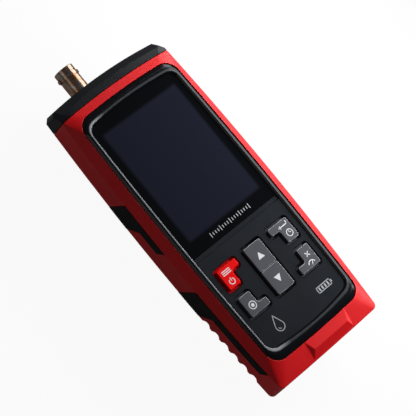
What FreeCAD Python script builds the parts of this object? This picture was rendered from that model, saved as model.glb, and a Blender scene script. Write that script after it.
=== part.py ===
import FreeCAD, Part
import math
import os

V = FreeCAD.Vector
X_AXIS = V(1, 0, 0)
Y_AXIS = V(0, 1, 0)
Z_AXIS = V(0, 0, 1)

# Handheld pH meter, lying on its back. X runs across the face, Y along the body
# towards the sockets, Z from the back (0) up to the face. The origin is the middle
# of the overall box, on the back. All sizes are millimetres.

# Overall body
BODY_LENGTH = 156.9
BODY_WIDTH = 70.0
BODY_DEPTH = 34.0
SOCKET_REACH = 12.0
PARTING_Z = BODY_DEPTH - 14.0
WALL = 2.2
BARREL_RADIUS = 1300.0
LOW_END_RADIUS = 2000.0
CAP_END_RADIUS = 265.0
LOW_CORNER = 2.6
CAP_CHAMFER_X = 4.2
CAP_CHAMFER_Y = 3.8

LOW_Y = -(BODY_LENGTH + SOCKET_REACH) / 2
HIGH_Y = LOW_Y + BODY_LENGTH
MID_Y = (LOW_Y + HIGH_Y) / 2
HALF = BODY_WIDTH / 2

# Section steps of the body, each given as a run inwards from the parting line
FLANK_DRAFT = 1.0
LOW_FACE_DRAFT = 0.6
SHOULDER_RUN = 4.3
SHOULDER_DROP = 2.9
FRAME_STAND = 0.8
SHOULDER_TOP_Z = BODY_DEPTH - FRAME_STAND
SHOULDER_LOW_Z = SHOULDER_TOP_Z - SHOULDER_DROP
CAP_BREAK_RUN = 3.9
CAP_BREAK_DROP = 3.5
CAP_BREAK_SETBACK = 0.6
REAR_TAPER = 12.0
REAR_END_TAPER = 1.0
REAR_LOW_TAPER = 2.8
BACK_EDGE_Z = 2.5
BACK_EDGE_RUN = 1.5

# Joint between the end cap and the two shells
SEAM_FROM_END = 7.8
SEAM_RADIUS = 370.0
SEAM_GAP = 0.3
PARTING_GAP = 0.2
CAP_WALL = 3.2
SPIGOT_DEPTH = 2.4
SPIGOT_WALL = 1.2
SPIGOT_CLEARANCE = 0.1

# Raised black frame round the face
FRAME_GAP = 0.3
FRAME_TOP_FROM_END = 12.3
FRAME_LOW_FROM_END = 10.2
FRAME_SIDE_RUN = 2.1
FRAME_TOP_RUN = 3.7
FRAME_LOW_RUN = 4.0
LIP_RUN = 0.8
LIP_DROP = 1.0
FRAME_SIDE_RADIUS = 1900.0
FRAME_TOP_RADIUS = 330.0
FRAME_LOW_RADIUS = 600.0
WINDOW_TOP_RADIUS = 200.0
WINDOW_LOW_RADIUS = 150.0
FRAME_TOP_CORNER = 7.0
FRAME_LOW_CORNER = 7.0
CREST_TOP_CORNER = 5.0
CREST_LOW_CORNER = 5.6
FRAME_EDGE_DROP = 1.1
FRAME_CROWN_DROP = 0.25
FRAME_CROWN_SHARE = 0.45
LEDGE_WIDTH = 1.5
LEDGE_THICK = 1.5
FRAME_FLANGE_RUN = 1.2
FRAME_FLANGE_THICK = 1.2
CROSS_BAR_HALF = 1.5

FACE_Z = BODY_DEPTH - LIP_DROP
FRAME_HALF = HALF - FLANK_DRAFT - SHOULDER_RUN - FRAME_GAP
FRAME_HIGH = HIGH_Y - FRAME_TOP_FROM_END
FRAME_LOW = LOW_Y + FRAME_LOW_FROM_END
LEDGE_Z = FACE_Z - LEDGE_THICK
SHELL_UNDER_Z = SHOULDER_LOW_Z - 0.3

# Lens and keypad plate, side by side in the frame
PLATE_THICK = 1.5
LENS_THICK = 1.2
FACE_FIT = 0.1
LENS_LOW_Y = LOW_Y + 67.3
STRIP_WIDTH = 2.05
STRIP_DROP = 0.3

# Keys
KEY_OUT_X = FRAME_HALF - 7.2
KEY_IN_X = KEY_OUT_X - 11.5
KEY_STEM_X = KEY_OUT_X - 6.7
KEY_HEIGHT = 10.0
KEY_ARM = 3.5
KEY_TOP_Y = LOW_Y + 57.25
KEY_LOW_Y = LOW_Y + 32.5
KEY_PROUD = 0.9
KEY_TRAVEL = 0.9
KEY_MOAT = 1.1
KEY_FLANGE_OVERLAP = 0.4
KEY_FLANGE_THICK = 1.0
KEY_FLANGE_GAP = 0.2
KEY_CORNER = 0.7
KEY_INNER_CORNER = 1.5
KEY_EDGE_ROUND = 0.3
MOAT_LIP = 0.35
ROCKER_HALF = 5.05
ROCKER_GROOVE = 0.4
ROCKER_GROOVE_DEPTH = 0.45
ROCKER_NOTCH_R = 0.4
ROCKER_HUB_HALF_Y = 1.7
ROCKER_PIN_R = 0.75
ROCKER_PIN_DROP = 3.5
ROCKER_PIN_CLEARANCE = 0.1
ROCKER_SIDE_GAP = 0.5
EAR_THICK = 1.3
EAR_HALF_Y = 1.9
EAR_PIN_CLEARANCE = 0.03

KEY_UNDER_Z = FACE_Z - PLATE_THICK - KEY_FLANGE_GAP
KEY_BASE_Z = KEY_UNDER_Z - KEY_FLANGE_THICK
ROCKER_MID_Y = (KEY_TOP_Y + KEY_LOW_Y) / 2
ROCKER_PIN_Z = FACE_Z - ROCKER_PIN_DROP

# Boards and what stands on them
BOARD_THICK = 1.6
BOARD_TOP_Z = FACE_Z - 6.4
BOARD_HALF = HALF - 6.0
BOARD_HIGH_Y = HIGH_Y - 21.5
BOARD_LOW_Y = LOW_Y + 16.4
TONGUE_HALF = 12.0
TONGUE_HIGH_Y = HIGH_Y - 8.9
BOARD_SCREW_X = HALF - 7.7
BOARD_SCREW_HIGH_Y = HIGH_Y - 27.0
BOARD_SCREW_LOW_Y = LOW_Y + 22.9
BOARD_RIB_LOW_Y = LOW_Y + 29.9
BOARD_RIB_HIGH_Y = HIGH_Y - 57.0
BOARD_RIB_REACH = 6.0
STANDOFF_R = 2.0
SMALL_SCREW_R = 0.8
SMALL_HEAD_R = 1.7
SMALL_HEAD_H = 1.2
SMALL_SCREW_LENGTH = 4.6
DOME_R = 2.5
DOME_H = 1.0
MAT_SHEET_Z = BOARD_TOP_Z + 1.2
MAT_SHEET_THICK = 0.6
MAT_HALF = FRAME_HALF - 5.6
MAT_HIGH_Y = LENS_LOW_Y - 4.0
MAT_LOW_Y = KEY_LOW_Y - 4.0
MAT_SKIRT = 1.5
MAT_PAD_TOP_Z = KEY_BASE_Z - KEY_TRAVEL - 0.2
MAT_PAD_R = 1.9
ROCKER_PAD_OFFSET = 8.6

# Chips under the board: middle x, middle y above the board's low edge, half sizes and height
CHIPS = ((-3.0, 81.0, 6.0, 6.0, 1.6), (13.0, 100.0, 3.0, 3.0, 1.2),
         (-17.5, 71.0, 2.5, 4.0, 1.4), (14.5, 81.0, 5.5, 2.0, 3.2))
BUZZER_X = -20.0
BUZZER_UP = 99.0
BUZZER_R = 6.0
BUZZER_HEIGHT = 3.6
BUZZER_PORT_R = 0.9
BUZZER_PORT_DEPTH = 2.4

BOARD_UNDER_Z = BOARD_TOP_Z - BOARD_THICK

# Display stack under the lens
DISPLAY_VIEW_HALF = FRAME_HALF - 7.2
DISPLAY_VIEW_LOW_Y = LOW_Y + 74.2
DISPLAY_VIEW_HIGH_Y = HIGH_Y - 23.7
PANEL_SIDE = 1.5
PANEL_TOP = 2.0
PANEL_BOTTOM = 4.6
PANEL_THICK = 2.0
BACKLIGHT_THICK = 2.0
FOAM_THICK = 0.4
BRACKET_WALL = 0.8
BRACKET_GAP = 0.2
BRACKET_RISE = 0.9
FLEX_THICK = 0.3
FLEX_HALF = 8.0
FLEX_FOOT = 2.2

LENS_UNDER_Z = FACE_Z - LENS_THICK
PANEL_TOP_Z = LENS_UNDER_Z - FOAM_THICK
PANEL_UNDER_Z = PANEL_TOP_Z - PANEL_THICK
BACKLIGHT_UNDER_Z = PANEL_UNDER_Z - BACKLIGHT_THICK

# Side grip inlays, drawn on the flank as (y from the low end, height step)
INLAY_TOP_Z = SHOULDER_LOW_Z - 0.3
INLAY_LOW_Z = PARTING_Z + 6.0
INLAY_THICK = 1.2
INLAY_PROUD = 0.15
INLAY_FIT = 0.1
UPPER_INLAY_TOP = BODY_LENGTH - 53.3
UPPER_INLAY_FLARE = 4.6
UPPER_INLAY_LENGTH = 26.7
LOWER_INLAY_TOP = 55.8
LOWER_INLAY_FLARE = 5.2
LOWER_INLAY_LENGTH = 46.3
INLAY_RETURN = 5.4
INLAY_TIP = 2.6

# Finger ribs along the edge under the lower inlays
RIB_COUNT = 7
RIB_PITCH = 6.1
RIB_FIRST_Y = LOW_Y + 45.7
RIB_DEPTH = 0.45
RIB_SCALLOP_R = 3.4
RIB_REAR_RUN = 9.0

# Raised grip on the low end of the front shell, off centre as in the photograph
BOSS_X = 3.0
BOSS_TOP_HALF = 13.0
BOSS_EDGE_HALF = 10.8
BOSS_FOOT_HALF = 13.4
BOSS_REACH = 5.1
BOSS_EDGE_DROP = 0.6
BOSS_FOOT_SINK = 0.15
BOSS_ROOT = 1.0

# Case screws and their posts
CASE_SCREW_X = HALF - 17.5
CASE_SCREW_HIGH_Y = HIGH_Y - 12.0
CASE_SCREW_LOW_Y = LOW_Y + 7.7
CASE_SCREW_R = 1.25
CASE_HEAD_R = 2.2
CASE_HEAD_H = 1.8
CASE_HEAD_DEPTH = 4.0
RECESS_HALF = 1.2
RECESS_WIDTH = 0.5
RECESS_DEPTH = 0.8
CASE_SCREW_CLEARANCE = 0.2
REAR_POST_R = 3.2
FRONT_POST_R = 2.5
FRONT_POST_TOP_Z = SHOULDER_LOW_Z - 1.9
RIB_WALL = 1.2
RIB_WALL_IN_X = CASE_SCREW_X - 3.5
RIB_WALL_OUT_X = CASE_SCREW_X + 7.0
RIB_WALL_Y = CASE_SCREW_HIGH_Y + 1.6

# Coaxial electrode socket, in the half of the cap to the left
SOCKET_X = -8.5
SOCKET_Z = PARTING_Z - 2.0
SOCKET_R = 4.8
SOCKET_BORE_R = 4.06
SOCKET_GROOVE_R = 4.45
SOCKET_NECK_R = 4.7
LUG_R = 0.95
LUG_REACH = 0.75
LUG_BACK = 4.0
TIP_BAND = 2.7
GROOVE_BAND = 0.5
LUG_BAND = 1.8
SOCKET_BORE_DEPTH = 9.0
SOCKET_TAIL_SPARE = 0.4
SOCKET_FLANGE_R = 6.4
SOCKET_FLANGE_THICK = 1.2
SOCKET_HOLE_CLEARANCE = 0.1
INSULATOR_R = 2.4
INSULATOR_SETBACK = 2.2
CONTACT_R = 1.05
CONTACT_BORE_R = 0.68
CONTACT_SETBACK = 0.6
CONTACT_BORE_DEPTH = 5.0
PRESS_CLEARANCE = 0.02
WASHER_R = 6.6
WASHER_THICK = 0.6
NUT_FLATS = 12.6
NUT_THICK = 2.0
THREAD_FIT = 0.05
SEAL_CORD_R = 0.4
SEAL_SEAT_SPARE = 0.1

# Temperature probe socket, flush in the other half of the cap
PROBE_X = 11.0
PROBE_R = 3.0
PROBE_BORE_R = 1.8
PROBE_DEPTH = 11.0
PROBE_LENGTH = 12.4
PROBE_SETBACK = 0.3
PROBE_TAIL_R = 2.7
PROBE_FLANGE_R = 4.2
PROBE_PIN_R = 0.4
PROBE_PIN_LENGTH = 1.6
PROBE_PIN_RING = 1.7

# Upright board that carries both sockets
INPUT_BOARD_THICK = 1.6
INPUT_BOARD_HALF = HALF - 18.0
INPUT_BOARD_LOW_Z = SOCKET_Z - 10.0
INPUT_BOARD_HIGH_Z = BOARD_TOP_Z - 0.2
BOARD_HOLE_FIT = 0.1
HEADER_X = 6.2
HEADER_PINS = 4
HEADER_PITCH = 2.54
HEADER_SIZE = 2.5
HEADER_PIN = 0.6

# Batteries, their holder and the sliding door
CELL_R = 5.15
CELL_LENGTH = 43.6
CELL_NUB_R = 1.9
CELL_NUB = 0.9
CELL_PITCH = 10.8
CELL_COUNT = 3
CELL_CLEARANCE = 0.2
SPRING_LENGTH = 5.0
CONTACT_THICK = 0.4
SPRING_WIDTH = 6.0
SPRING_RISE = 7.0
HOLDER_WALL = 1.2
HOLDER_HIGH_Y = LOW_Y + 68.8
DOOR_THICK = 1.8
DOOR_FLOOR = 1.2
DOOR_HALF = 18.3
DOOR_UNDERCUT = 0.8
DOOR_HIGH_Y = LOW_Y + 71.4
DOOR_FIT = 0.15
DOOR_LIP_GAP = 0.3
THUMB_GROOVES = 5
THUMB_PITCH = 2.6
THUMB_FROM_TOP = 8.0
THUMB_R = 0.9
THUMB_DEPTH = 0.5
THUMB_HALF = 8.0

HOLDER_LOW_Z = DOOR_THICK + DOOR_FIT + DOOR_FLOOR
CELL_Z = HOLDER_LOW_Z + CELL_CLEARANCE + CELL_R
BAY_HIGH_Y = HOLDER_HIGH_Y - HOLDER_WALL
BAY_LENGTH = CELL_LENGTH + CELL_NUB + SPRING_LENGTH + 2 * CONTACT_THICK + 0.3
BAY_LOW_Y = BAY_HIGH_Y - BAY_LENGTH
HOLDER_LOW_Y = BAY_LOW_Y - HOLDER_WALL
BAY_HALF = CELL_PITCH * (CELL_COUNT - 1) / 2 + CELL_R + CELL_CLEARANCE
HOLDER_HALF = BAY_HALF + HOLDER_WALL
HOLDER_HIGH_Z = CELL_Z + CELL_R + CELL_CLEARANCE + HOLDER_WALL

BIG = 60.0


def box(x0, x1, y0, y1, z0, z1):
    """Box between two corners."""
    return Part.makeBox(x1 - x0, y1 - y0, z1 - z0, V(x0, y0, z0))


def rod(x, y, z, r, length, axis=Z_AXIS):
    """Cylinder from a point along an axis."""
    return Part.makeCylinder(r, length, V(x, y, z), axis)


def polygon_prism(points, direction):
    """Prism over a closed polygon of 3-D points."""
    wire = Part.makePolygon(points + [points[0]])
    return Part.Face(wire).extrude(direction)


def turned(profile, origin, axis=Y_AXIS):
    """Body of revolution; profile is (radius, distance along the axis) pairs."""
    points = [V(r, 0, d) for r, d in profile]
    wire = Part.makePolygon(points + [points[0]])
    body = Part.Face(wire).revolve(V(0, 0, 0), Z_AXIS, 360)
    body.Placement = FreeCAD.Placement(origin, FreeCAD.Rotation(Z_AXIS, axis))
    return body


def fused(shapes):
    """Union of several shapes as one clean shape."""
    first = shapes[0]
    return first.fuse(shapes[1:]).removeSplitter() if len(shapes) > 1 else first


def mirrored(shape):
    """The same shape on the other side of the middle plane."""
    return shape.mirror(V(0, 0, 0), X_AXIS)


def vertical_edges(shape):
    """Straight edges that run along Z."""
    found = []
    for edge in shape.Edges:
        start, end = edge.Vertexes[0].Point, edge.Vertexes[-1].Point
        if abs(start.x - end.x) + abs(start.y - end.y) < 1e-6 and abs(start.z - end.z) > 1e-6:
            found.append(edge)
    return found


def edges_at(shape, z):
    """Edges that lie in the plane at height z."""
    return [e for e in shape.Edges if abs(e.BoundBox.ZMin - z) < 1e-4 and abs(e.BoundBox.ZMax - z) < 1e-4]


class Outline:
    """Plan outline with bowed sides, arched ends and rounded or chamfered corners."""

    def __init__(self, half, low, high, side_r, low_r, high_r, low_corner, high_corner, chamfer=None):
        self.half, self.low, self.high = half, low, high
        self.side_r, self.low_r, self.high_r = side_r, low_r, high_r
        self.low_corner, self.high_corner, self.chamfer = low_corner, high_corner, chamfer

    def inset(self, d):
        """The outline moved inwards by d, or outwards where d is negative."""
        chamfer = None
        if self.chamfer:
            chamfer = tuple(cut - d * (2 - math.sqrt(2)) for cut in self.chamfer)
        low_corner, high_corner = max(self.low_corner - d, 0.5), max(self.high_corner - d, 0.5)
        return Outline(self.half - d, self.low + d, self.high - d, self.side_r - d, self.low_r - d,
                       self.high_r - d, low_corner, high_corner, chamfer)

    def half_at(self, y):
        """Half width at a place along the body."""
        return self.half - self.side_r + math.sqrt(self.side_r ** 2 - (y - MID_Y) ** 2)

    def _corner(self, end_y, end_r, r, sign):
        """Right-hand corner: point on the side, middle of the arc, point on the end."""
        side_c = V(self.half - self.side_r, MID_Y, 0)
        end_c = V(0, end_y - sign * end_r, 0)
        between = end_c.sub(side_c)
        span = between.Length
        along = ((self.side_r - r) ** 2 - (end_r - r) ** 2 + span ** 2) / (2 * span)
        across = math.sqrt((self.side_r - r) ** 2 - along ** 2)
        foot = side_c + between * (along / span)
        normal = V(-between.y, between.x, 0) * (across / span)
        centre = max((foot + normal, foot - normal), key=lambda p: sign * p.y)
        on_side = side_c + (centre - side_c) * (self.side_r / (centre - side_c).Length)
        on_end = end_c + (centre - end_c) * (end_r / (centre - end_c).Length)
        outward = on_side + on_end - centre * 2
        return on_side, centre + outward * (r / outward.Length), on_end

    def _chamfered(self):
        """Right-hand upper corner cut straight."""
        cut_x, cut_y = self.chamfer
        side_y = self.high - cut_y
        on_side = V(self.half_at(side_y), side_y, 0)
        end_x = self.half - cut_x
        end_y = self.high - self.high_r + math.sqrt(self.high_r ** 2 - end_x ** 2)
        return on_side, None, V(end_x, end_y, 0)

    def wire(self, z):
        """Closed wire of eight edges at height z, counter-clockwise from the low end."""
        low_side, low_mid, low_end = self._corner(self.low, self.low_r, self.low_corner, -1)
        if self.chamfer:
            high_side, high_mid, high_end = self._chamfered()
        else:
            high_side, high_mid, high_end = self._corner(self.high, self.high_r, self.high_corner, 1)
        up = V(0, 0, z)

        def left(p):
            return V(-p.x, p.y, 0)

        def edge(a, b, c):
            if b is None:
                return Part.LineSegment(a + up, c + up).toShape()
            return Part.Arc(a + up, b + up, c + up).toShape()

        side_mid = V(self.half, MID_Y, 0)
        left_high_mid = left(high_mid) if high_mid else None
        edges = [edge(left(low_end), V(0, self.low, 0), low_end),
                 edge(low_end, low_mid, low_side),
                 edge(low_side, side_mid, high_side),
                 edge(high_side, high_mid, high_end),
                 edge(high_end, V(0, self.high, 0), left(high_end)),
                 edge(left(high_end), left_high_mid, left(high_side)),
                 edge(left(high_side), left(side_mid), left(low_side)),
                 edge(left(low_side), left(low_mid), left(low_end))]
        return Part.Wire(edges)

    def prism(self, z0, z1):
        """Upright solid over the outline."""
        return Part.Face(self.wire(z0)).extrude(V(0, 0, z1 - z0))


def loft(sections):
    """Solid through (outline, height) sections, straight between them."""
    return Part.makeLoft([outline.wire(z) for outline, z in sections], True, True)


def body_outline(half, low, high):
    """Outline of the housing, with its chamfered cap corners."""
    return Outline(half, low, high, BARREL_RADIUS, LOW_END_RADIUS, CAP_END_RADIUS, LOW_CORNER, 0.0,
                   (CAP_CHAMFER_X, CAP_CHAMFER_Y))


BACK_OUTLINE = body_outline(HALF - REAR_TAPER - BACK_EDGE_RUN, LOW_Y + REAR_LOW_TAPER + BACK_EDGE_RUN,
                            HIGH_Y - REAR_END_TAPER - BACK_EDGE_RUN)
REAR_OUTLINE = body_outline(HALF - REAR_TAPER, LOW_Y + REAR_LOW_TAPER, HIGH_Y - REAR_END_TAPER)
PARTING_OUTLINE = body_outline(HALF, LOW_Y, HIGH_Y)
FLANK_RISE = SHOULDER_LOW_Z - PARTING_Z
BREAK_Z = SHOULDER_LOW_Z - CAP_BREAK_DROP
BREAK_SHARE = (BREAK_Z - PARTING_Z) / FLANK_RISE
BREAK_OUTLINE = body_outline(HALF - FLANK_DRAFT * BREAK_SHARE, LOW_Y + LOW_FACE_DRAFT * BREAK_SHARE,
                             HIGH_Y - CAP_BREAK_SETBACK)
SHOULDER_OUTLINE = body_outline(HALF - FLANK_DRAFT, LOW_Y + LOW_FACE_DRAFT, HIGH_Y - CAP_BREAK_RUN)
FRAME_OUTLINE = Outline(FRAME_HALF, FRAME_LOW, FRAME_HIGH, FRAME_SIDE_RADIUS, FRAME_LOW_RADIUS,
                        FRAME_TOP_RADIUS, FRAME_LOW_CORNER, FRAME_TOP_CORNER)
CREST_OUTLINE = Outline(FRAME_HALF - FRAME_SIDE_RUN, FRAME_LOW + FRAME_LOW_RUN, FRAME_HIGH - FRAME_TOP_RUN,
                        FRAME_SIDE_RADIUS, WINDOW_LOW_RADIUS, WINDOW_TOP_RADIUS, CREST_LOW_CORNER,
                        CREST_TOP_CORNER)
OPENING_OUTLINE = FRAME_OUTLINE.inset(-FRAME_GAP)
WINDOW_OUTLINE = CREST_OUTLINE.inset(LIP_RUN)
LEDGE_OUTLINE = WINDOW_OUTLINE.inset(LEDGE_WIDTH)


def whole_body():
    """The closed outer form of both shells and the cap."""
    return loft([(BACK_OUTLINE, 0.0), (REAR_OUTLINE, BACK_EDGE_Z), (PARTING_OUTLINE, PARTING_Z),
                 (BREAK_OUTLINE, BREAK_Z), (SHOULDER_OUTLINE, SHOULDER_LOW_Z),
                 (OPENING_OUTLINE, SHOULDER_TOP_Z)])


def cavity(extra=0.0):
    """The hollow inside the housing, smaller by extra all round."""
    inset = WALL + extra
    roof = 0.8 + extra
    return loft([(REAR_OUTLINE.inset(inset), WALL + extra), (PARTING_OUTLINE.inset(inset), PARTING_Z),
                 (BREAK_OUTLINE.inset(inset), BREAK_Z - roof * 0.5),
                 (SHOULDER_OUTLINE.inset(inset), SHOULDER_LOW_Z - WALL * 0.5 - extra),
                 (OPENING_OUTLINE.inset(roof), SHOULDER_TOP_Z - WALL - extra)])


def beyond_seam(offset):
    """Everything on the cap's side of the arched seam, moved along Y by offset."""
    r = SEAM_RADIUS + offset
    crown = HIGH_Y - SEAM_FROM_END + offset
    side_y = crown - r + math.sqrt(r ** 2 - BIG ** 2)
    arc = Part.Arc(V(-BIG, side_y, -BIG), V(0, crown, -BIG), V(BIG, side_y, -BIG)).toShape()
    far = crown + BIG
    rest = Part.makePolygon([V(BIG, side_y, -BIG), V(BIG, far, -BIG), V(-BIG, far, -BIG),
                             V(-BIG, side_y, -BIG)])
    return Part.Face(Part.Wire([arc] + rest.Edges)).extrude(V(0, 0, 3 * BIG))


def slab(z0, z1):
    """Everything between two heights."""
    return box(-2 * BIG, 2 * BIG, -3 * BIG, 3 * BIG, z0, z1)


def case_screw_places():
    """Plan positions of the four case screws."""
    return [(x, y) for y in (CASE_SCREW_LOW_Y, CASE_SCREW_HIGH_Y) for x in (-CASE_SCREW_X, CASE_SCREW_X)]


def board_screw_places():
    """Plan positions of the four board screws."""
    return [(x, y) for y in (BOARD_SCREW_LOW_Y, BOARD_SCREW_HIGH_Y) for x in (-BOARD_SCREW_X, BOARD_SCREW_X)]


def low_end_boss(shell):
    """Add the raised grip to the low end: a wedge from the frame down to the shoulder's fold."""
    edge_y = OPENING_OUTLINE.low - BOSS_REACH
    foot_y = SHOULDER_OUTLINE.low + BOSS_FOOT_SINK
    foot_z = SHOULDER_LOW_Z - BOSS_FOOT_SINK
    deep_z = PARTING_Z + 4.0
    root = BOSS_ROOT / BOSS_REACH

    def ring(side):
        top = V(BOSS_X + side * BOSS_TOP_HALF, OPENING_OUTLINE.low, SHOULDER_TOP_Z)
        edge = V(BOSS_X + side * BOSS_EDGE_HALF, edge_y, SHOULDER_TOP_Z - BOSS_EDGE_DROP)
        return [top + (top - edge) * root, edge, V(BOSS_X + side * BOSS_FOOT_HALF, foot_y, foot_z)]

    (lt, le, lf), (rt, re, rf) = ring(-1), ring(1)
    below = [V(p.x, p.y, deep_z) for p in (lt, lf, rf, rt)]
    faces = [[lt, le, re, rt], [le, lf, rf, re], [lt, lf, le], [rt, re, rf], below,
             [lt, rt, below[3], below[0]], [lf, lt, below[0], below[1]], [rt, rf, below[2], below[3]],
             [rf, lf, below[1], below[2]]]
    raised = Part.Solid(Part.Shell([Part.Face(Part.makePolygon(f + [f[0]])) for f in faces]))
    return shell.fuse(raised).removeSplitter()


def inlay_shape(top, flare, length):
    """Side view of one inlay as (y, z) points; top is measured from the low end."""
    y_top = LOW_Y + top
    y_low = y_top - length
    return [(y_top, INLAY_TOP_Z), (y_top + flare, PARTING_Z), (y_top - flare - INLAY_RETURN / 2, PARTING_Z),
            (y_top - flare - INLAY_RETURN * 1.5, INLAY_LOW_Z), (y_low + INLAY_TIP, INLAY_LOW_Z),
            (y_low, INLAY_TOP_Z)]


def side_prism(points, side):
    """Prism along X over (y, z) points, on one side of the body only."""
    return polygon_prism([V(0, y, z) for y, z in points], V(side * BIG, 0, 0))


def flank_band(proud, depth):
    """Skin of the front shell's flank, from proud of it to depth inside it."""
    outer, inner = [loft([(PARTING_OUTLINE.inset(d), PARTING_Z), (SHOULDER_OUTLINE.inset(d), SHOULDER_LOW_Z)])
                    for d in (-proud, depth)]
    return outer.cut(inner)


UPPER_INLAY = inlay_shape(UPPER_INLAY_TOP, UPPER_INLAY_FLARE, UPPER_INLAY_LENGTH)
LOWER_INLAY = inlay_shape(LOWER_INLAY_TOP, LOWER_INLAY_FLARE, LOWER_INLAY_LENGTH)


def grip_inlay(points, side):
    """One soft inlay, lying in its pocket in the flank."""
    lifted = [(y, max(z, PARTING_Z + PARTING_GAP / 2)) for y, z in points]
    return flank_band(INLAY_PROUD, INLAY_THICK).common(side_prism(lifted, side))


def inlay_pocket(points, side):
    """The pocket of one inlay, a little larger all round."""
    wire = Part.makePolygon([V(0, y, z) for y, z in points + [points[0]]])
    grown = wire.makeOffset2D(INLAY_FIT, 2)
    prism = Part.Face(grown).extrude(V(side * BIG, 0, 0))
    return flank_band(WALL, INLAY_THICK + INLAY_FIT).common(prism)


def rib_scallops():
    """Cutters for the hollows between the finger ribs, on both sides."""
    cutters = []
    centre_r = RIB_SCALLOP_R - RIB_DEPTH
    front_lean = V(-FLANK_DRAFT, 0, FLANK_RISE)
    rear_lean = V(-REAR_TAPER, 0, BACK_EDGE_Z - PARTING_Z)
    front_length = (INLAY_LOW_Z - PARTING_Z - INLAY_FIT * 2) * front_lean.Length / FLANK_RISE
    for index in range(RIB_COUNT - 1):
        y = RIB_FIRST_Y - RIB_PITCH * (index + 0.5)
        base = V(PARTING_OUTLINE.half_at(y) + centre_r, y, PARTING_Z)
        for lean, length in ((front_lean, front_length), (rear_lean, RIB_REAR_RUN)):
            cutter = Part.makeCylinder(RIB_SCALLOP_R, length, base, lean)
            cutters += [cutter, mirrored(cutter)]
    return cutters


def front_shell():
    """Red front half of the housing, open for the black frame."""
    shell = low_end_boss(whole_body().common(slab(PARTING_Z + PARTING_GAP / 2, BIG)))
    shell = shell.cut(cavity()).cut(OPENING_OUTLINE.prism(PARTING_Z, BIG))
    posts = []
    for x, y in case_screw_places():
        post = rod(x, y, PARTING_Z, FRONT_POST_R, FRONT_POST_TOP_Z - PARTING_Z)
        if y > MID_Y:
            side = math.copysign(1, x)
            x0, x1 = sorted((side * RIB_WALL_IN_X, side * RIB_WALL_OUT_X))
            web = box(x0, x1, RIB_WALL_Y, RIB_WALL_Y + RIB_WALL, PARTING_Z + PARTING_GAP, SHOULDER_TOP_Z)
            web = web.common(cavity(-0.5))
            post = post.fuse(web)
        else:
            gusset = box(x - FRONT_POST_R, x + FRONT_POST_R, LOW_Y + WALL * 0.8, y, PARTING_Z + PARTING_GAP,
                         FRONT_POST_TOP_Z)
            post = post.fuse(gusset.common(whole_body()))
        posts.append(post)
    shell = shell.fuse(posts)
    flange_room = FRAME_OUTLINE.inset(-FRAME_FLANGE_RUN - FRAME_GAP)
    shell = shell.cut(flange_room.prism(FRONT_POST_TOP_Z, SHELL_UNDER_Z))
    for x, y in case_screw_places():
        shell = shell.cut(rod(x, y, PARTING_Z - 1, CASE_SCREW_R, FRONT_POST_TOP_Z - PARTING_Z))
    for points in (UPPER_INLAY, LOWER_INLAY):
        for side in (-1, 1):
            shell = shell.cut(inlay_pocket(points, side))
    return shell.cut(rib_scallops()).cut(beyond_seam(-SEAM_GAP / 2)).removeSplitter()


def door_profile(half, z0, z1, grow):
    """Dovetail section of the door, wide inside and narrow at the back face."""
    undercut = DOOR_UNDERCUT
    return [V(-half + undercut - grow, 0, z0), V(half - undercut + grow, 0, z0), V(half + grow, 0, z1),
            V(-half - grow, 0, z1)]


def door_prism(high_y, thick, grow):
    """Dovetail bar from the door's upper end out past the low end."""
    low_y = LOW_Y - 5.0
    points = [V(p.x, low_y, p.z) for p in door_profile(DOOR_HALF, 0.0, thick, grow)]
    return polygon_prism(points, V(0, high_y - low_y, 0))


def rear_shell():
    """Red rear half with the battery opening, door slide and screw posts."""
    outer = whole_body().common(slab(-1.0, PARTING_Z - PARTING_GAP / 2))
    shell = outer.cut(cavity())
    pad_half = DOOR_HALF + HOLDER_WALL
    pad = box(-pad_half, pad_half, LOW_Y, DOOR_HIGH_Y + HOLDER_WALL, 0.5, HOLDER_LOW_Z).common(outer)
    shell = shell.fuse(pad)
    posts = [rod(x, y, 1.0, REAR_POST_R, PARTING_Z - 1.0).common(outer) for x, y in case_screw_places()]
    ribs = []
    for side in (-1, 1):
        for y in (BOARD_RIB_LOW_Y, BOARD_RIB_HIGH_Y):
            x0, x1 = sorted((side * (BOARD_HALF - BOARD_RIB_REACH), side * HALF))
            rib = box(x0, x1, y, y + RIB_WALL, WALL, PARTING_Z - PARTING_GAP / 2).common(cavity(-0.5))
            rest = box(x0, x1, y, y + RIB_WALL, WALL, BOARD_UNDER_Z).common(cavity(SEAM_GAP))
            ribs.append(rib.fuse(rest))
    shell = shell.fuse(posts + ribs)
    recess = door_prism(DOOR_HIGH_Y + DOOR_LIP_GAP, DOOR_THICK + DOOR_FIT, DOOR_FIT)
    mouth = DOOR_HALF - DOOR_UNDERCUT
    below = box(-mouth, mouth, LOW_Y - 5, DOOR_HIGH_Y + DOOR_LIP_GAP, -1, 1)
    opening = box(-BAY_HALF, BAY_HALF, BAY_LOW_Y, BAY_HIGH_Y, -1.0, HOLDER_LOW_Z + 1.0)
    shell = shell.cut([recess, below, opening])
    for x, y in case_screw_places():
        seat = CASE_HEAD_DEPTH + (DOOR_THICK if y < MID_Y else 0.0)
        shell = shell.cut(rod(x, y, -1.0, CASE_HEAD_R + CASE_SCREW_CLEARANCE, 1.0 + seat))
        shell = shell.cut(rod(x, y, -1.0, CASE_SCREW_R + CASE_SCREW_CLEARANCE, PARTING_Z + 2.0))
    return shell.cut(rib_scallops()).cut(beyond_seam(-SEAM_GAP / 2)).removeSplitter()


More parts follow.
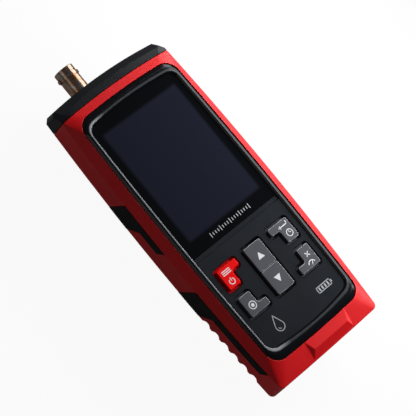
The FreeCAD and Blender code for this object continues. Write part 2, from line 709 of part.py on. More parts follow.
def top_cap():
    """Black end cap with both socket holes and the tongue that enters the shells."""
    body = whole_body().common(beyond_seam(SEAM_GAP / 2))
    hollow = cavity().cut(box(-BIG, BIG, HIGH_Y - CAP_WALL, BIG * 2, -BIG, BIG))
    cap = body.cut(hollow)
    tongue = cavity(SPIGOT_CLEARANCE).cut(cavity(SPIGOT_CLEARANCE + SPIGOT_WALL))
    tongue = tongue.cut(beyond_seam(SPIGOT_DEPTH)).common(beyond_seam(-SPIGOT_DEPTH))
    tongue = tongue.cut(box(-BIG, BIG, 0, BIG * 2, PARTING_Z - 1.0, BIG))
    tongue = tongue.cut([rod(x, y, 0, REAR_POST_R + DOOR_LIP_GAP, BIG) for x, y in case_screw_places()])
    key = cavity(-0.05).cut(cavity(SPIGOT_CLEARANCE + SPIGOT_WALL)).common(
        beyond_seam(SEAM_GAP / 2 + 0.2)).cut(beyond_seam(SPIGOT_DEPTH))
    key = key.cut(box(-BIG, BIG, 0, BIG * 2, PARTING_Z - 1.0, BIG))
    cap = cap.fuse([tongue, key])
    hole_y = HIGH_Y - 2 * CAP_WALL
    seat_depth = 2 * SEAL_CORD_R + SEAL_SEAT_SPARE
    holes = [rod(SOCKET_X, hole_y, SOCKET_Z, SOCKET_NECK_R + SOCKET_HOLE_CLEARANCE, BIG, Y_AXIS),
             rod(PROBE_X, hole_y, SOCKET_Z, PROBE_R + SOCKET_HOLE_CLEARANCE, BIG, Y_AXIS),
             rod(SOCKET_X, hole_y, SOCKET_Z, SOCKET_NECK_R + seat_depth, CAP_WALL + seat_depth, Y_AXIS)]
    return cap.cut(holes).removeSplitter()


def front_frame():
    """Raised black surround with the ledge for lens and keypad and the board standoffs."""
    crown = FRAME_OUTLINE.half - FRAME_SIDE_RUN * FRAME_CROWN_SHARE
    crown_low = FRAME_LOW + FRAME_LOW_RUN * FRAME_CROWN_SHARE
    crown_high = FRAME_HIGH - FRAME_TOP_RUN * FRAME_CROWN_SHARE
    low_r, top_r = (FRAME_LOW_RADIUS + WINDOW_LOW_RADIUS) / 2, (FRAME_TOP_RADIUS + WINDOW_TOP_RADIUS) / 2
    low_corner, top_corner = (FRAME_LOW_CORNER + CREST_LOW_CORNER) / 2, (FRAME_TOP_CORNER + CREST_TOP_CORNER) / 2
    crown_outline = Outline(crown, crown_low, crown_high, FRAME_SIDE_RADIUS, low_r, top_r, low_corner, top_corner)
    edge_z = BODY_DEPTH - FRAME_EDGE_DROP
    ring = loft([(FRAME_OUTLINE, edge_z), (crown_outline, BODY_DEPTH - FRAME_CROWN_DROP),
                 (CREST_OUTLINE, BODY_DEPTH)])
    flange_top = SHELL_UNDER_Z - FRAME_GAP
    flange_low = flange_top - FRAME_FLANGE_THICK
    base = FRAME_OUTLINE.prism(flange_low, edge_z)
    flange = FRAME_OUTLINE.inset(-FRAME_FLANGE_RUN).prism(flange_low, flange_top)
    frame = base.fuse([ring, flange])
    lip = loft([(WINDOW_OUTLINE, FACE_Z), (CREST_OUTLINE, BODY_DEPTH)])
    pocket = WINDOW_OUTLINE.prism(LEDGE_Z, FACE_Z)
    bar = box(-BIG, BIG, LENS_LOW_Y - CROSS_BAR_HALF, LENS_LOW_Y + CROSS_BAR_HALF, 0, BIG)
    opening = LEDGE_OUTLINE.prism(flange_low - 1.0, LEDGE_Z + 0.5).cut(bar)
    frame = frame.cut(lip).cut(pocket).cut(opening)
    standoff_h = flange_low - BOARD_TOP_Z + 0.2
    standoffs = [rod(x, y, BOARD_TOP_Z, STANDOFF_R, standoff_h) for x, y in board_screw_places()]
    frame = frame.fuse(standoffs)
    for x, y in board_screw_places():
        frame = frame.cut(rod(x, y, BOARD_TOP_Z - 1.0, SMALL_SCREW_R, SMALL_SCREW_LENGTH - BOARD_THICK + 1.2))
    return frame.removeSplitter()


def display_lens():
    """Black glossy lens over the display."""
    lens = WINDOW_OUTLINE.inset(FACE_FIT).prism(LENS_UNDER_Z, FACE_Z)
    return lens.common(box(-BIG, BIG, LENS_LOW_Y + FACE_FIT, 2 * BIG, 0, BIG))


def lens_tape():
    """Adhesive ring between lens and ledge."""
    ring = WINDOW_OUTLINE.inset(FACE_FIT * 3).prism(LEDGE_Z, LENS_UNDER_Z)
    ring = ring.common(box(-BIG, BIG, LENS_LOW_Y + FACE_FIT * 3, 2 * BIG, 0, BIG))
    hole = LEDGE_OUTLINE.prism(LEDGE_Z - 1.0, LENS_UNDER_Z + 1.0)
    hole = hole.common(box(-BIG, BIG, LENS_LOW_Y + CROSS_BAR_HALF, 2 * BIG, 0, BIG))
    return ring.cut(hole)


def key_prism(side, upper, z0, z1, grow, outer_r, inner_r):
    """L-shaped prism of one corner key; grow widens it all round."""
    if upper:
        edge_y, arm_y, far_y = KEY_TOP_Y + grow, KEY_TOP_Y - KEY_ARM - grow, KEY_TOP_Y - KEY_HEIGHT - grow
    else:
        edge_y, arm_y, far_y = KEY_LOW_Y - grow, KEY_LOW_Y + KEY_ARM + grow, KEY_LOW_Y + KEY_HEIGHT + grow
    out_x, in_x, stem_x = KEY_OUT_X + grow, KEY_IN_X - grow, KEY_STEM_X - grow
    corners = [(out_x, edge_y), (in_x, edge_y), (in_x, arm_y), (stem_x, arm_y), (stem_x, far_y),
               (out_x, far_y)]
    prism = polygon_prism([V(side * x, y, z0) for x, y in corners], V(0, 0, z1 - z0))
    inner = [e for e in vertical_edges(prism)
             if abs(abs(e.Vertexes[0].X) - stem_x) < 1e-6 and abs(e.Vertexes[0].Y - arm_y) < 1e-6]
    outer = [e for e in vertical_edges(prism) if not any(e.isSame(i) for i in inner)]
    prism = prism.makeFillet(outer_r, outer)
    inner = [e for e in vertical_edges(prism)
             if abs(abs(e.Vertexes[0].X) - stem_x) < 1e-6 and abs(e.Vertexes[0].Y - arm_y) < 1e-6]
    return prism.makeFillet(inner_r, inner)


def key_cap(side, upper):
    """One corner key with its retaining flange."""
    top_z = FACE_Z + KEY_PROUD
    cap = key_prism(side, upper, KEY_BASE_Z, top_z, 0.0, KEY_CORNER, KEY_INNER_CORNER)
    cap = cap.makeFillet(KEY_EDGE_ROUND, edges_at(cap, top_z))
    reach = KEY_MOAT + KEY_FLANGE_OVERLAP
    flange = key_prism(side, upper, KEY_BASE_Z, KEY_UNDER_Z, reach, KEY_CORNER, KEY_CORNER)
    return cap.fuse(flange).removeSplitter()


def rocker_block(z0, z1, grow, corner):
    """Upright block of the rocker's plan; grow widens it all round."""
    block = box(-ROCKER_HALF - grow, ROCKER_HALF + grow, KEY_LOW_Y - grow, KEY_TOP_Y + grow, z0, z1)
    return block.makeFillet(corner, vertical_edges(block))


def rocker():
    """Up and down rocker, bored for its pin."""
    top_z = FACE_Z + KEY_PROUD
    cap = rocker_block(KEY_BASE_Z, top_z, 0.0, KEY_CORNER)
    cap = cap.makeFillet(KEY_EDGE_ROUND, edges_at(cap, top_z))
    groove = polygon_prism([V(-BIG, ROCKER_MID_Y - ROCKER_GROOVE, top_z + 0.01),
                            V(-BIG, ROCKER_MID_Y, top_z - ROCKER_GROOVE_DEPTH),
                            V(-BIG, ROCKER_MID_Y + ROCKER_GROOVE, top_z + 0.01)], V(2 * BIG, 0, 0))
    notches = [rod(x, ROCKER_MID_Y, KEY_UNDER_Z, ROCKER_NOTCH_R, BIG) for x in (-ROCKER_HALF, ROCKER_HALF)]
    hub = box(-ROCKER_HALF + ROCKER_SIDE_GAP, ROCKER_HALF - ROCKER_SIDE_GAP, ROCKER_MID_Y - ROCKER_HUB_HALF_Y,
              ROCKER_MID_Y + ROCKER_HUB_HALF_Y, ROCKER_PIN_Z - ROCKER_HUB_HALF_Y, KEY_BASE_Z + 0.2)
    bore = rod(-BIG, ROCKER_MID_Y, ROCKER_PIN_Z, ROCKER_PIN_R + ROCKER_PIN_CLEARANCE, 2 * BIG, X_AXIS)
    return cap.cut([groove] + notches).fuse(hub).cut(bore).removeSplitter()


def rocker_pin():
    """Steel pin that carries the rocker between the plate's ears."""
    reach = ROCKER_HALF + KEY_MOAT + ROCKER_SIDE_GAP + EAR_THICK
    return rod(-reach, ROCKER_MID_Y, ROCKER_PIN_Z, ROCKER_PIN_R, 2 * reach, X_AXIS)


def keypad_plate():
    """Fine-textured plate with a rounded well for each key and ears for the rocker pin."""
    under_z = FACE_Z - PLATE_THICK
    plate = WINDOW_OUTLINE.inset(FACE_FIT).prism(under_z, FACE_Z)
    plate = plate.common(box(-BIG, BIG, -2 * BIG, LENS_LOW_Y - FACE_FIT, 0, BIG))
    strip_y = LENS_LOW_Y - STRIP_WIDTH
    plate = plate.cut(polygon_prism([V(-BIG, LENS_LOW_Y + 1.0, FACE_Z - STRIP_DROP),
                                     V(-BIG, strip_y, FACE_Z - STRIP_DROP),
                                     V(-BIG, strip_y - 2 * STRIP_DROP, FACE_Z + STRIP_DROP),
                                     V(-BIG, LENS_LOW_Y + 1.0, FACE_Z + STRIP_DROP)], V(2 * BIG, 0, 0)))
    wells = [key_prism(side, upper, under_z - 1.0, FACE_Z + 1.0, KEY_MOAT, KEY_CORNER + KEY_MOAT, KEY_CORNER)
             for side in (-1, 1) for upper in (True, False)]
    wells.append(rocker_block(under_z - 1.0, FACE_Z + 1.0, KEY_MOAT, KEY_CORNER + KEY_MOAT))
    plate = plate.cut(wells)
    reach_x = KEY_OUT_X + KEY_MOAT + 0.1
    lips = [e for e in edges_at(plate, FACE_Z)
            if e.BoundBox.YMax < strip_y - 1.0 and e.BoundBox.YMin > KEY_LOW_Y - KEY_MOAT - 0.1
            and e.BoundBox.XMin > -reach_x and e.BoundBox.XMax < reach_x]
    plate = plate.makeChamfer(MOAT_LIP, lips)
    ear_x = ROCKER_HALF + KEY_MOAT + ROCKER_SIDE_GAP
    for side in (-1, 1):
        x0, x1 = sorted((side * ear_x, side * (ear_x + EAR_THICK)))
        ear = box(x0, x1, ROCKER_MID_Y - EAR_HALF_Y, ROCKER_MID_Y + EAR_HALF_Y,
                  ROCKER_PIN_Z - EAR_HALF_Y, under_z)
        plate = plate.fuse(ear)
    hole = rod(-BIG, ROCKER_MID_Y, ROCKER_PIN_Z, ROCKER_PIN_R + EAR_PIN_CLEARANCE, 2 * BIG, X_AXIS)
    hole = hole.common(box(-ear_x - EAR_THICK - 1, ear_x + EAR_THICK + 1, -BIG * 2, BIG, 0, under_z))
    return plate.cut(hole).removeSplitter()


def key_centres():
    """Centre of the press on every corner key and on both ends of the rocker."""
    stem_mid = (KEY_OUT_X + KEY_STEM_X) / 2
    centres = []
    for side in (-1, 1):
        centres.append((side * stem_mid, KEY_TOP_Y - KEY_HEIGHT / 2))
        centres.append((side * stem_mid, KEY_LOW_Y + KEY_HEIGHT / 2))
    for offset in (-ROCKER_PAD_OFFSET, ROCKER_PAD_OFFSET):
        centres.append((0.0, ROCKER_MID_Y + offset))
    return centres


def keypad_mat():
    """Silicone mat: a sheet on a skirt, with a pad under each key."""
    z1 = MAT_SHEET_Z + MAT_SHEET_THICK
    outer = box(-MAT_HALF, MAT_HALF, MAT_LOW_Y, MAT_HIGH_Y, BOARD_TOP_Z, z1)
    outer = outer.makeFillet(2.0, vertical_edges(outer))
    inner = box(-MAT_HALF + MAT_SKIRT, MAT_HALF - MAT_SKIRT, MAT_LOW_Y + MAT_SKIRT, MAT_HIGH_Y - MAT_SKIRT,
                BOARD_TOP_Z - 1.0, MAT_SHEET_Z)
    pads = [rod(x, y, z1 - 0.1, MAT_PAD_R, MAT_PAD_TOP_Z - z1 + 0.1) for x, y in key_centres()]
    slot_x = ROCKER_HALF + KEY_MOAT + ROCKER_SIDE_GAP + EAR_THICK + 0.6
    slot = box(-slot_x, slot_x, ROCKER_MID_Y - EAR_HALF_Y - 0.6, ROCKER_MID_Y + EAR_HALF_Y + 0.6, 0, BIG)
    return outer.cut(inner).fuse(pads).cut(slot).removeSplitter()


def dome_switches():
    """Six snap domes on the board, one under each pad."""
    dome = [(0.0, 0.0), (DOME_R, 0.0), (DOME_R * 0.8, DOME_H * 0.6), (DOME_R * 0.35, DOME_H), (0.0, DOME_H)]
    return Part.makeCompound([turned(dome, V(x, y, BOARD_TOP_Z), Z_AXIS) for x, y in key_centres()])


def main_board():
    """Main circuit board with a tongue that reaches the socket board."""
    z0 = BOARD_UNDER_Z
    board = box(-BOARD_HALF, BOARD_HALF, BOARD_LOW_Y, BOARD_HIGH_Y, z0, BOARD_TOP_Z)
    board = board.makeFillet(3.0, vertical_edges(board))
    board = board.fuse(box(-TONGUE_HALF, TONGUE_HALF, BOARD_HIGH_Y - 1.0, TONGUE_HIGH_Y, z0, BOARD_TOP_Z))
    holes = [rod(x, y, z0 - 1.0, SMALL_SCREW_R + 0.15, BOARD_THICK + 2.0) for x, y in board_screw_places()]
    return board.cut(holes).removeSplitter()


def board_components():
    """Chips and the crystal under the main board."""
    z1 = BOARD_UNDER_Z
    chips = []
    for x, up, half_x, half_y, height in CHIPS:
        y = BOARD_LOW_Y + up
        chips.append(box(x - half_x, x + half_x, y - half_y, y + half_y, z1 - height, z1))
    return Part.makeCompound(chips)


def board_screws():
    """Four small screws through the board into the frame's standoffs."""
    screws = []
    for x, y in board_screw_places():
        profile = [(0.0, -SMALL_HEAD_H), (SMALL_HEAD_R * 0.7, -SMALL_HEAD_H), (SMALL_HEAD_R, 0.0),
                   (SMALL_SCREW_R, 0.0), (SMALL_SCREW_R, SMALL_SCREW_LENGTH), (0.0, SMALL_SCREW_LENGTH)]
        screws.append(turned(profile, V(x, y, BOARD_UNDER_Z), Z_AXIS))
    return Part.makeCompound(screws)


def buzzer():
    """Round sounder under the board."""
    roof = BUZZER_PORT_DEPTH - BUZZER_HEIGHT
    profile = [(BUZZER_PORT_R, -BUZZER_HEIGHT), (BUZZER_R, -BUZZER_HEIGHT), (BUZZER_R, 0.0), (0.0, 0.0),
               (0.0, roof), (BUZZER_PORT_R, roof)]
    return turned(profile, V(BUZZER_X, BOARD_LOW_Y + BUZZER_UP, BOARD_UNDER_Z), Z_AXIS)


def panel_box(grow, z0, z1):
    """Block over the display panel's plan."""
    half = DISPLAY_VIEW_HALF + PANEL_SIDE + grow
    low_y = DISPLAY_VIEW_LOW_Y - PANEL_BOTTOM - grow
    return box(-half, half, low_y, DISPLAY_VIEW_HIGH_Y + PANEL_TOP + grow, z0, z1)


def display_foam():
    """Dust seal between display and lens."""
    ring = panel_box(0.0, PANEL_TOP_Z, LENS_UNDER_Z)
    hole = box(-DISPLAY_VIEW_HALF, DISPLAY_VIEW_HALF, DISPLAY_VIEW_LOW_Y, DISPLAY_VIEW_HIGH_Y, 0, BIG)
    return ring.cut(hole)


def display_bracket():
    """Tray on the board that holds the display."""
    outer = panel_box(BRACKET_GAP + BRACKET_WALL, BOARD_TOP_Z, BACKLIGHT_UNDER_Z + BRACKET_RISE)
    outer = outer.cut(panel_box(BRACKET_GAP, BACKLIGHT_UNDER_Z, BIG))
    window = panel_box(-5.0, 0.0, BIG)
    way_out = box(-FLEX_HALF - 1.0, FLEX_HALF + 1.0, -BIG, DISPLAY_VIEW_LOW_Y + 2.0, 0, BIG)
    return outer.cut([window, way_out])


def display_flex():
    """Flat cable from the display panel down to the board."""
    end_y = DISPLAY_VIEW_LOW_Y - PANEL_BOTTOM
    drop = box(-FLEX_HALF, FLEX_HALF, end_y - FLEX_THICK, end_y, BOARD_TOP_Z, PANEL_UNDER_Z + PANEL_THICK / 2)
    foot = box(-FLEX_HALF, FLEX_HALF, end_y - FLEX_THICK, end_y + FLEX_FOOT,
               BOARD_TOP_Z, BOARD_TOP_Z + FLEX_THICK)
    return drop.fuse(foot).removeSplitter()


def case_screws():
    """Four long screws from the back into the front shell's posts."""
    screws = []
    for x, y in case_screw_places():
        seat = CASE_HEAD_DEPTH + (DOOR_THICK if y < MID_Y else 0.0)
        length = FRONT_POST_TOP_Z - 1.4 - seat
        body = turned([(0.0, -CASE_HEAD_H), (CASE_HEAD_R * 0.8, -CASE_HEAD_H), (CASE_HEAD_R, 0.0),
                       (CASE_SCREW_R, 0.0), (CASE_SCREW_R, length), (0.0, length)], V(x, y, seat), Z_AXIS)
        z0, z1 = seat - CASE_HEAD_H - 1, seat - CASE_HEAD_H + RECESS_DEPTH
        wide, thin = RECESS_HALF, RECESS_WIDTH / 2
        cross = [box(x - dx, x + dx, y - dy, y + dy, z0, z1) for dx, dy in ((wide, thin), (thin, wide))]
        screws.append(body.cut(cross))
    return Part.makeCompound(screws)


SOCKET_TIP_Y = HIGH_Y + SOCKET_REACH
FLANGE_BACK = -CAP_WALL - SOCKET_FLANGE_THICK
WASHER_FRONT = FLANGE_BACK - INPUT_BOARD_THICK
NUT_FRONT = WASHER_FRONT - WASHER_THICK
SOCKET_TAIL_END = NUT_FRONT - NUT_THICK - SOCKET_TAIL_SPARE


def socket_shell():
    """Metal barrel of the electrode socket with its two bayonet lugs."""
    tip = SOCKET_REACH
    band_1 = tip - TIP_BAND
    band_2 = band_1 - LUG_BAND - GROOVE_BAND
    bore_end = tip - SOCKET_BORE_DEPTH
    profile = [(SOCKET_BORE_R, tip), (SOCKET_R - 0.3, tip), (SOCKET_R, tip - 0.3), (SOCKET_R, band_1),
               (SOCKET_GROOVE_R, band_1 - 0.1), (SOCKET_GROOVE_R, band_1 - GROOVE_BAND + 0.1),
               (SOCKET_R, band_1 - GROOVE_BAND), (SOCKET_R, band_2), (SOCKET_GROOVE_R, band_2 - 0.1),
               (SOCKET_GROOVE_R, band_2 - GROOVE_BAND + 0.1), (SOCKET_NECK_R, band_2 - GROOVE_BAND),
               (SOCKET_NECK_R, -CAP_WALL), (SOCKET_FLANGE_R, -CAP_WALL), (SOCKET_FLANGE_R, FLANGE_BACK),
               (SOCKET_NECK_R, FLANGE_BACK), (SOCKET_NECK_R, SOCKET_TAIL_END), (INSULATOR_R, SOCKET_TAIL_END),
               (INSULATOR_R, bore_end), (SOCKET_BORE_R, bore_end)]
    barrel = turned(profile, V(SOCKET_X, HIGH_Y, SOCKET_Z))
    lug_y = SOCKET_TIP_Y - LUG_BACK
    lug = rod(SOCKET_X - SOCKET_R - LUG_REACH, lug_y, SOCKET_Z, LUG_R, 2 * (SOCKET_R + LUG_REACH), X_AXIS)
    lug = lug.cut(rod(SOCKET_X, lug_y - 3, SOCKET_Z, SOCKET_BORE_R, 6, Y_AXIS))
    return barrel.fuse(lug).removeSplitter()


def socket_insulator():
    """White insulator tube round the centre contact."""
    front = SOCKET_REACH - INSULATOR_SETBACK
    fit = INSULATOR_R - PRESS_CLEARANCE
    inner = CONTACT_R + PRESS_CLEARANCE
    profile = [(inner, front), (fit, front), (fit, SOCKET_TAIL_END), (inner, SOCKET_TAIL_END)]
    return turned(profile, V(SOCKET_X, HIGH_Y, SOCKET_Z))


def socket_contact():
    """Gilt centre contact with its soldered tail."""
    front = SOCKET_REACH - INSULATOR_SETBACK - CONTACT_SETBACK
    back = SOCKET_TAIL_END - CONTACT_SETBACK
    profile = [(CONTACT_BORE_R, front), (CONTACT_R, front), (CONTACT_R, back), (0.0, back),
               (0.0, front - CONTACT_BORE_DEPTH), (CONTACT_BORE_R, front - CONTACT_BORE_DEPTH)]
    return turned(profile, V(SOCKET_X, HIGH_Y, SOCKET_Z))


def socket_seal():
    """O-ring in its seat behind the cap's wall."""
    centre_r = SOCKET_NECK_R + SEAL_CORD_R + PRESS_CLEARANCE
    corner = SEAL_CORD_R / math.cos(math.pi / 8)
    turns = [math.pi * (k + 0.5) / 4 for k in range(8)]
    profile = [(centre_r + corner * math.cos(a), corner * math.sin(a)) for a in turns]
    middle = HIGH_Y - CAP_WALL + SEAL_CORD_R + SEAL_SEAT_SPARE / 2
    return turned(profile, V(SOCKET_X, middle, SOCKET_Z))


def socket_washer():
    """Toothed lock washer between the socket board and the nut."""
    outer = rod(SOCKET_X, HIGH_Y + NUT_FRONT, SOCKET_Z, WASHER_R, WASHER_THICK, Y_AXIS)
    teeth = []
    count = 12
    for index in range(count):
        angle = 2 * math.pi * index / count
        x = SOCKET_X + (WASHER_R + 0.2) * math.cos(angle)
        z = SOCKET_Z + (WASHER_R + 0.2) * math.sin(angle)
        teeth.append(rod(x, HIGH_Y + NUT_FRONT - 1.0, z, 0.75, WASHER_THICK + 2.0, Y_AXIS))
    hole_y = HIGH_Y + NUT_FRONT - 1.0
    hole = rod(SOCKET_X, hole_y, SOCKET_Z, SOCKET_NECK_R + THREAD_FIT, WASHER_THICK + 2.0, Y_AXIS)
    return outer.cut(teeth + [hole])


def socket_nut():
    """Hexagon nut that clamps the socket board against the flange."""
    corner = NUT_FLATS / math.sqrt(3)
    y = HIGH_Y + NUT_FRONT - NUT_THICK
    turns = [math.radians(60 * k) for k in range(6)]
    points = [V(SOCKET_X + corner * math.cos(a), y, SOCKET_Z + corner * math.sin(a)) for a in turns]
    nut = polygon_prism(points, V(0, NUT_THICK, 0))
    rounding = turned([(0.0, 0.0), (corner - 0.9, 0.0), (corner, 0.5), (corner, NUT_THICK), (0.0, NUT_THICK)],
                      V(SOCKET_X, y, SOCKET_Z))
    hole = rod(SOCKET_X, y - 1.0, SOCKET_Z, SOCKET_NECK_R + THREAD_FIT, NUT_THICK + 2.0, Y_AXIS)
    return nut.common(rounding).cut(hole)


def probe_socket():
    """Temperature probe socket, flush with the cap and soldered to the socket board."""
    front = -PROBE_SETBACK
    profile = [(PROBE_BORE_R, front), (PROBE_R - 0.3, front), (PROBE_R, front - 0.3), (PROBE_R, -CAP_WALL),
               (PROBE_FLANGE_R, -CAP_WALL), (PROBE_FLANGE_R, FLANGE_BACK), (PROBE_TAIL_R, FLANGE_BACK),
               (PROBE_TAIL_R, front - PROBE_LENGTH), (0.0, front - PROBE_LENGTH), (0.0, front - PROBE_DEPTH),
               (PROBE_BORE_R, front - PROBE_DEPTH)]
    return turned(profile, V(PROBE_X, HIGH_Y, SOCKET_Z))


def probe_contacts():
    """Three solder pins on the back of the probe socket."""
    end_y = HIGH_Y - PROBE_SETBACK - PROBE_LENGTH - PROBE_PIN_LENGTH
    pins = []
    for k in range(3):
        angle = math.radians(90 + 120 * k)
        x = PROBE_X + PROBE_PIN_RING * math.cos(angle)
        z = SOCKET_Z + PROBE_PIN_RING * math.sin(angle)
        pins.append(rod(x, end_y, z, PROBE_PIN_R, PROBE_PIN_LENGTH, Y_AXIS))
    return Part.makeCompound(pins)


def input_board():
    """Upright circuit board held between the socket's flange and its nut."""
    y1 = HIGH_Y + FLANGE_BACK
    y0 = y1 - INPUT_BOARD_THICK
    board = box(-INPUT_BOARD_HALF, INPUT_BOARD_HALF, y0, y1, INPUT_BOARD_LOW_Z, INPUT_BOARD_HIGH_Z)
    through = INPUT_BOARD_THICK + 2.0
    holes = [rod(SOCKET_X, y0 - 1.0, SOCKET_Z, SOCKET_NECK_R + BOARD_HOLE_FIT, through, Y_AXIS),
             rod(PROBE_X, y0 - 1.0, SOCKET_Z, PROBE_TAIL_R + BOARD_HOLE_FIT, through, Y_AXIS)]
    return board.cut(holes)


def board_header():
    """Pin header under the main board's tongue that plugs into the socket board."""
    half = HEADER_PITCH * HEADER_PINS / 2
    z1 = BOARD_UNDER_Z
    low_y = TONGUE_HIGH_Y - HEADER_SIZE
    body = box(HEADER_X - half, HEADER_X + half, low_y, TONGUE_HIGH_Y, z1 - HEADER_SIZE, z1)
    pins = []
    for k in range(HEADER_PINS):
        x = HEADER_X - half + HEADER_PITCH * (k + 0.5)
        z = z1 - HEADER_SIZE / 2
        pins.append(box(x - HEADER_PIN / 2, x + HEADER_PIN / 2, TONGUE_HIGH_Y - 0.5,
                        HIGH_Y + FLANGE_BACK - INPUT_BOARD_THICK, z - HEADER_PIN / 2, z + HEADER_PIN / 2))
    return fused([body] + pins)


def cell_places():
    """Name, x position and direction of each battery cell; +1 has its cap towards the sockets."""
    names = ("left", "middle", "right")
    return [(name, (k - 1) * CELL_PITCH, -1 if k % 2 else 1) for k, name in enumerate(names)]


def battery_holder():
    """Cradle over the cells, open at the back, with a rounded trough for each cell."""
    holder = box(-HOLDER_HALF, HOLDER_HALF, HOLDER_LOW_Y, HOLDER_HIGH_Y, HOLDER_LOW_Z, HOLDER_HIGH_Z)
    bay = box(-BAY_HALF, BAY_HALF, BAY_LOW_Y, BAY_HIGH_Y, HOLDER_LOW_Z - 1.0, CELL_Z)
    trough_r = CELL_R + CELL_CLEARANCE
    troughs = [rod(x, BAY_LOW_Y, CELL_Z, trough_r, BAY_LENGTH, Y_AXIS) for _, x, _ in cell_places()]
    return holder.cut([bay] + troughs).removeSplitter()


def battery_cell(x, direction):
    """One AAA cell with its raised cap."""
    length = CELL_LENGTH
    profile = [(0.0, 0.0), (CELL_R - 0.5, 0.0), (CELL_R, 0.5), (CELL_R, length - 0.9), (CELL_R - 0.9, length),
               (CELL_NUB_R, length), (CELL_NUB_R, length + CELL_NUB), (0.0, length + CELL_NUB)]
    if direction > 0:
        start_y = BAY_HIGH_Y - CONTACT_THICK - CELL_NUB - length
    else:
        start_y = BAY_LOW_Y + CONTACT_THICK + CELL_NUB + length
    return turned(profile, V(x, start_y, CELL_Z), V(0, direction, 0))


def battery_springs():
    """Three bent leaf springs, one at the flat end of each cell."""
    springs = []
    t = CONTACT_THICK
    for _, x, direction in cell_places():
        wall_y = BAY_LOW_Y if direction > 0 else BAY_HIGH_Y
        reach = SPRING_LENGTH + CONTACT_THICK
        low = CELL_Z - SPRING_RISE / 2
        high = CELL_Z + SPRING_RISE / 2
        half = reach / 2
        path = [(0.0, low), (0.0, high), (half, high), (reach, CELL_Z + 0.6), (reach, CELL_Z - 0.6),
                (half + 0.5, low + 1.4), (half + 0.5 - t, low + 1.6), (reach - t, CELL_Z - 0.5),
                (reach - t, CELL_Z + 0.5), (half - 0.4 * t, high - t), (t, high - t), (t, low)]
        points = [V(x - SPRING_WIDTH / 2, wall_y + direction * y, z) for y, z in path]
        springs.append(polygon_prism(points, V(SPRING_WIDTH, 0, 0)))
    return Part.makeCompound(springs)


def battery_contacts():
    """Three flat plates at the capped ends of the cells."""
    plates = []
    for _, x, direction in cell_places():
        y0 = BAY_HIGH_Y - CONTACT_THICK if direction > 0 else BAY_LOW_Y
        plates.append(box(x - SPRING_WIDTH / 2, x + SPRING_WIDTH / 2, y0, y0 + CONTACT_THICK,
                          CELL_Z - SPRING_RISE / 2, CELL_Z + SPRING_RISE / 2))
    return Part.makeCompound(plates)


def battery_door():
    """Sliding dovetail door with thumb grooves across its outer face."""
    door = door_prism(DOOR_HIGH_Y, DOOR_THICK, 0.0).common(whole_body())
    grooves = []
    for k in range(THUMB_GROOVES):
        y = DOOR_HIGH_Y - THUMB_FROM_TOP - k * THUMB_PITCH
        grooves.append(rod(-THUMB_HALF, y, THUMB_DEPTH - THUMB_R, THUMB_R, 2 * THUMB_HALF, X_AXIS))
    return door.cut(grooves).removeSplitter()


def build_nodes():
    """Every piece of the meter by the name of its file."""
    nodes = {
        "front_shell": front_shell(),
        "rear_shell": rear_shell(),
        "top_cap": top_cap(),
        "front_frame": front_frame(),
        "display_lens": display_lens(),
        "lens_tape": lens_tape(),
        "keypad_plate": keypad_plate(),
        "key_menu_power": key_cap(-1, True),
        "key_record": key_cap(-1, False),
        "key_enter": key_cap(1, True),
        "key_delete_measure": key_cap(1, False),
        "rocker_up_down": rocker(),
        "rocker_pin": rocker_pin(),
        "keypad_mat": keypad_mat(),
        "dome_switches": dome_switches(),
        "display_foam": display_foam(),
        "display_panel": panel_box(0.0, PANEL_UNDER_Z, PANEL_TOP_Z),
        "display_backlight": panel_box(-0.6, BACKLIGHT_UNDER_Z, PANEL_UNDER_Z),
        "display_bracket": display_bracket(),
        "display_flex": display_flex(),
        "main_board": main_board(),
        "board_components": board_components(),
        "board_screws": board_screws(),
        "buzzer": buzzer(),
        "grip_inlay_left_upper": grip_inlay(UPPER_INLAY, -1),
        "grip_inlay_left_lower": grip_inlay(LOWER_INLAY, -1),
        "grip_inlay_right_upper": grip_inlay(UPPER_INLAY, 1),
        "grip_inlay_right_lower": grip_inlay(LOWER_INLAY, 1),
        "case_screws": case_screws(),
        "electrode_socket_shell": socket_shell(),
        "electrode_socket_insulator": socket_insulator(),
        "electrode_socket_contact": socket_contact(),
        "electrode_socket_seal": socket_seal(),
        "electrode_socket_washer": socket_washer(),
        "electrode_socket_nut": socket_nut(),
        "probe_socket": probe_socket(),
        "probe_socket_pins": probe_contacts(),
        "input_board": input_board(),
        "board_header": board_header(),
        "battery_holder": battery_holder(),
        "battery_springs": battery_springs(),
        "battery_contacts": battery_contacts(),
        "battery_door": battery_door(),
    }
    for name, x, direction in cell_places():
        nodes["battery_cell_" + name] = battery_cell(x, direction)
    return nodes


def main():
    """Build every piece and write one STEP file for each."""
    os.makedirs("parts", exist_ok=True)
    for name, shape in build_nodes().items():
        if not shape.isValid():
            print("invalid shape:", name)
        shape.exportStep("parts/" + name + ".step")
        print(f"{name:30s} solids {len(shape.Solids)} volume {shape.Volume:10.1f}")


main()
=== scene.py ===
"""Looks of the handheld pH meter: its finishes, printed marks, studio and camera.

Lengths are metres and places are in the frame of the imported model: X across the face,
Y along the body towards the sockets, Z up from the back to the face.
"""

import logging
import math
from dataclasses import dataclass, field
from enum import Enum
from typing import Any

import bmesh
import bpy
from mathutils import Matrix, Vector


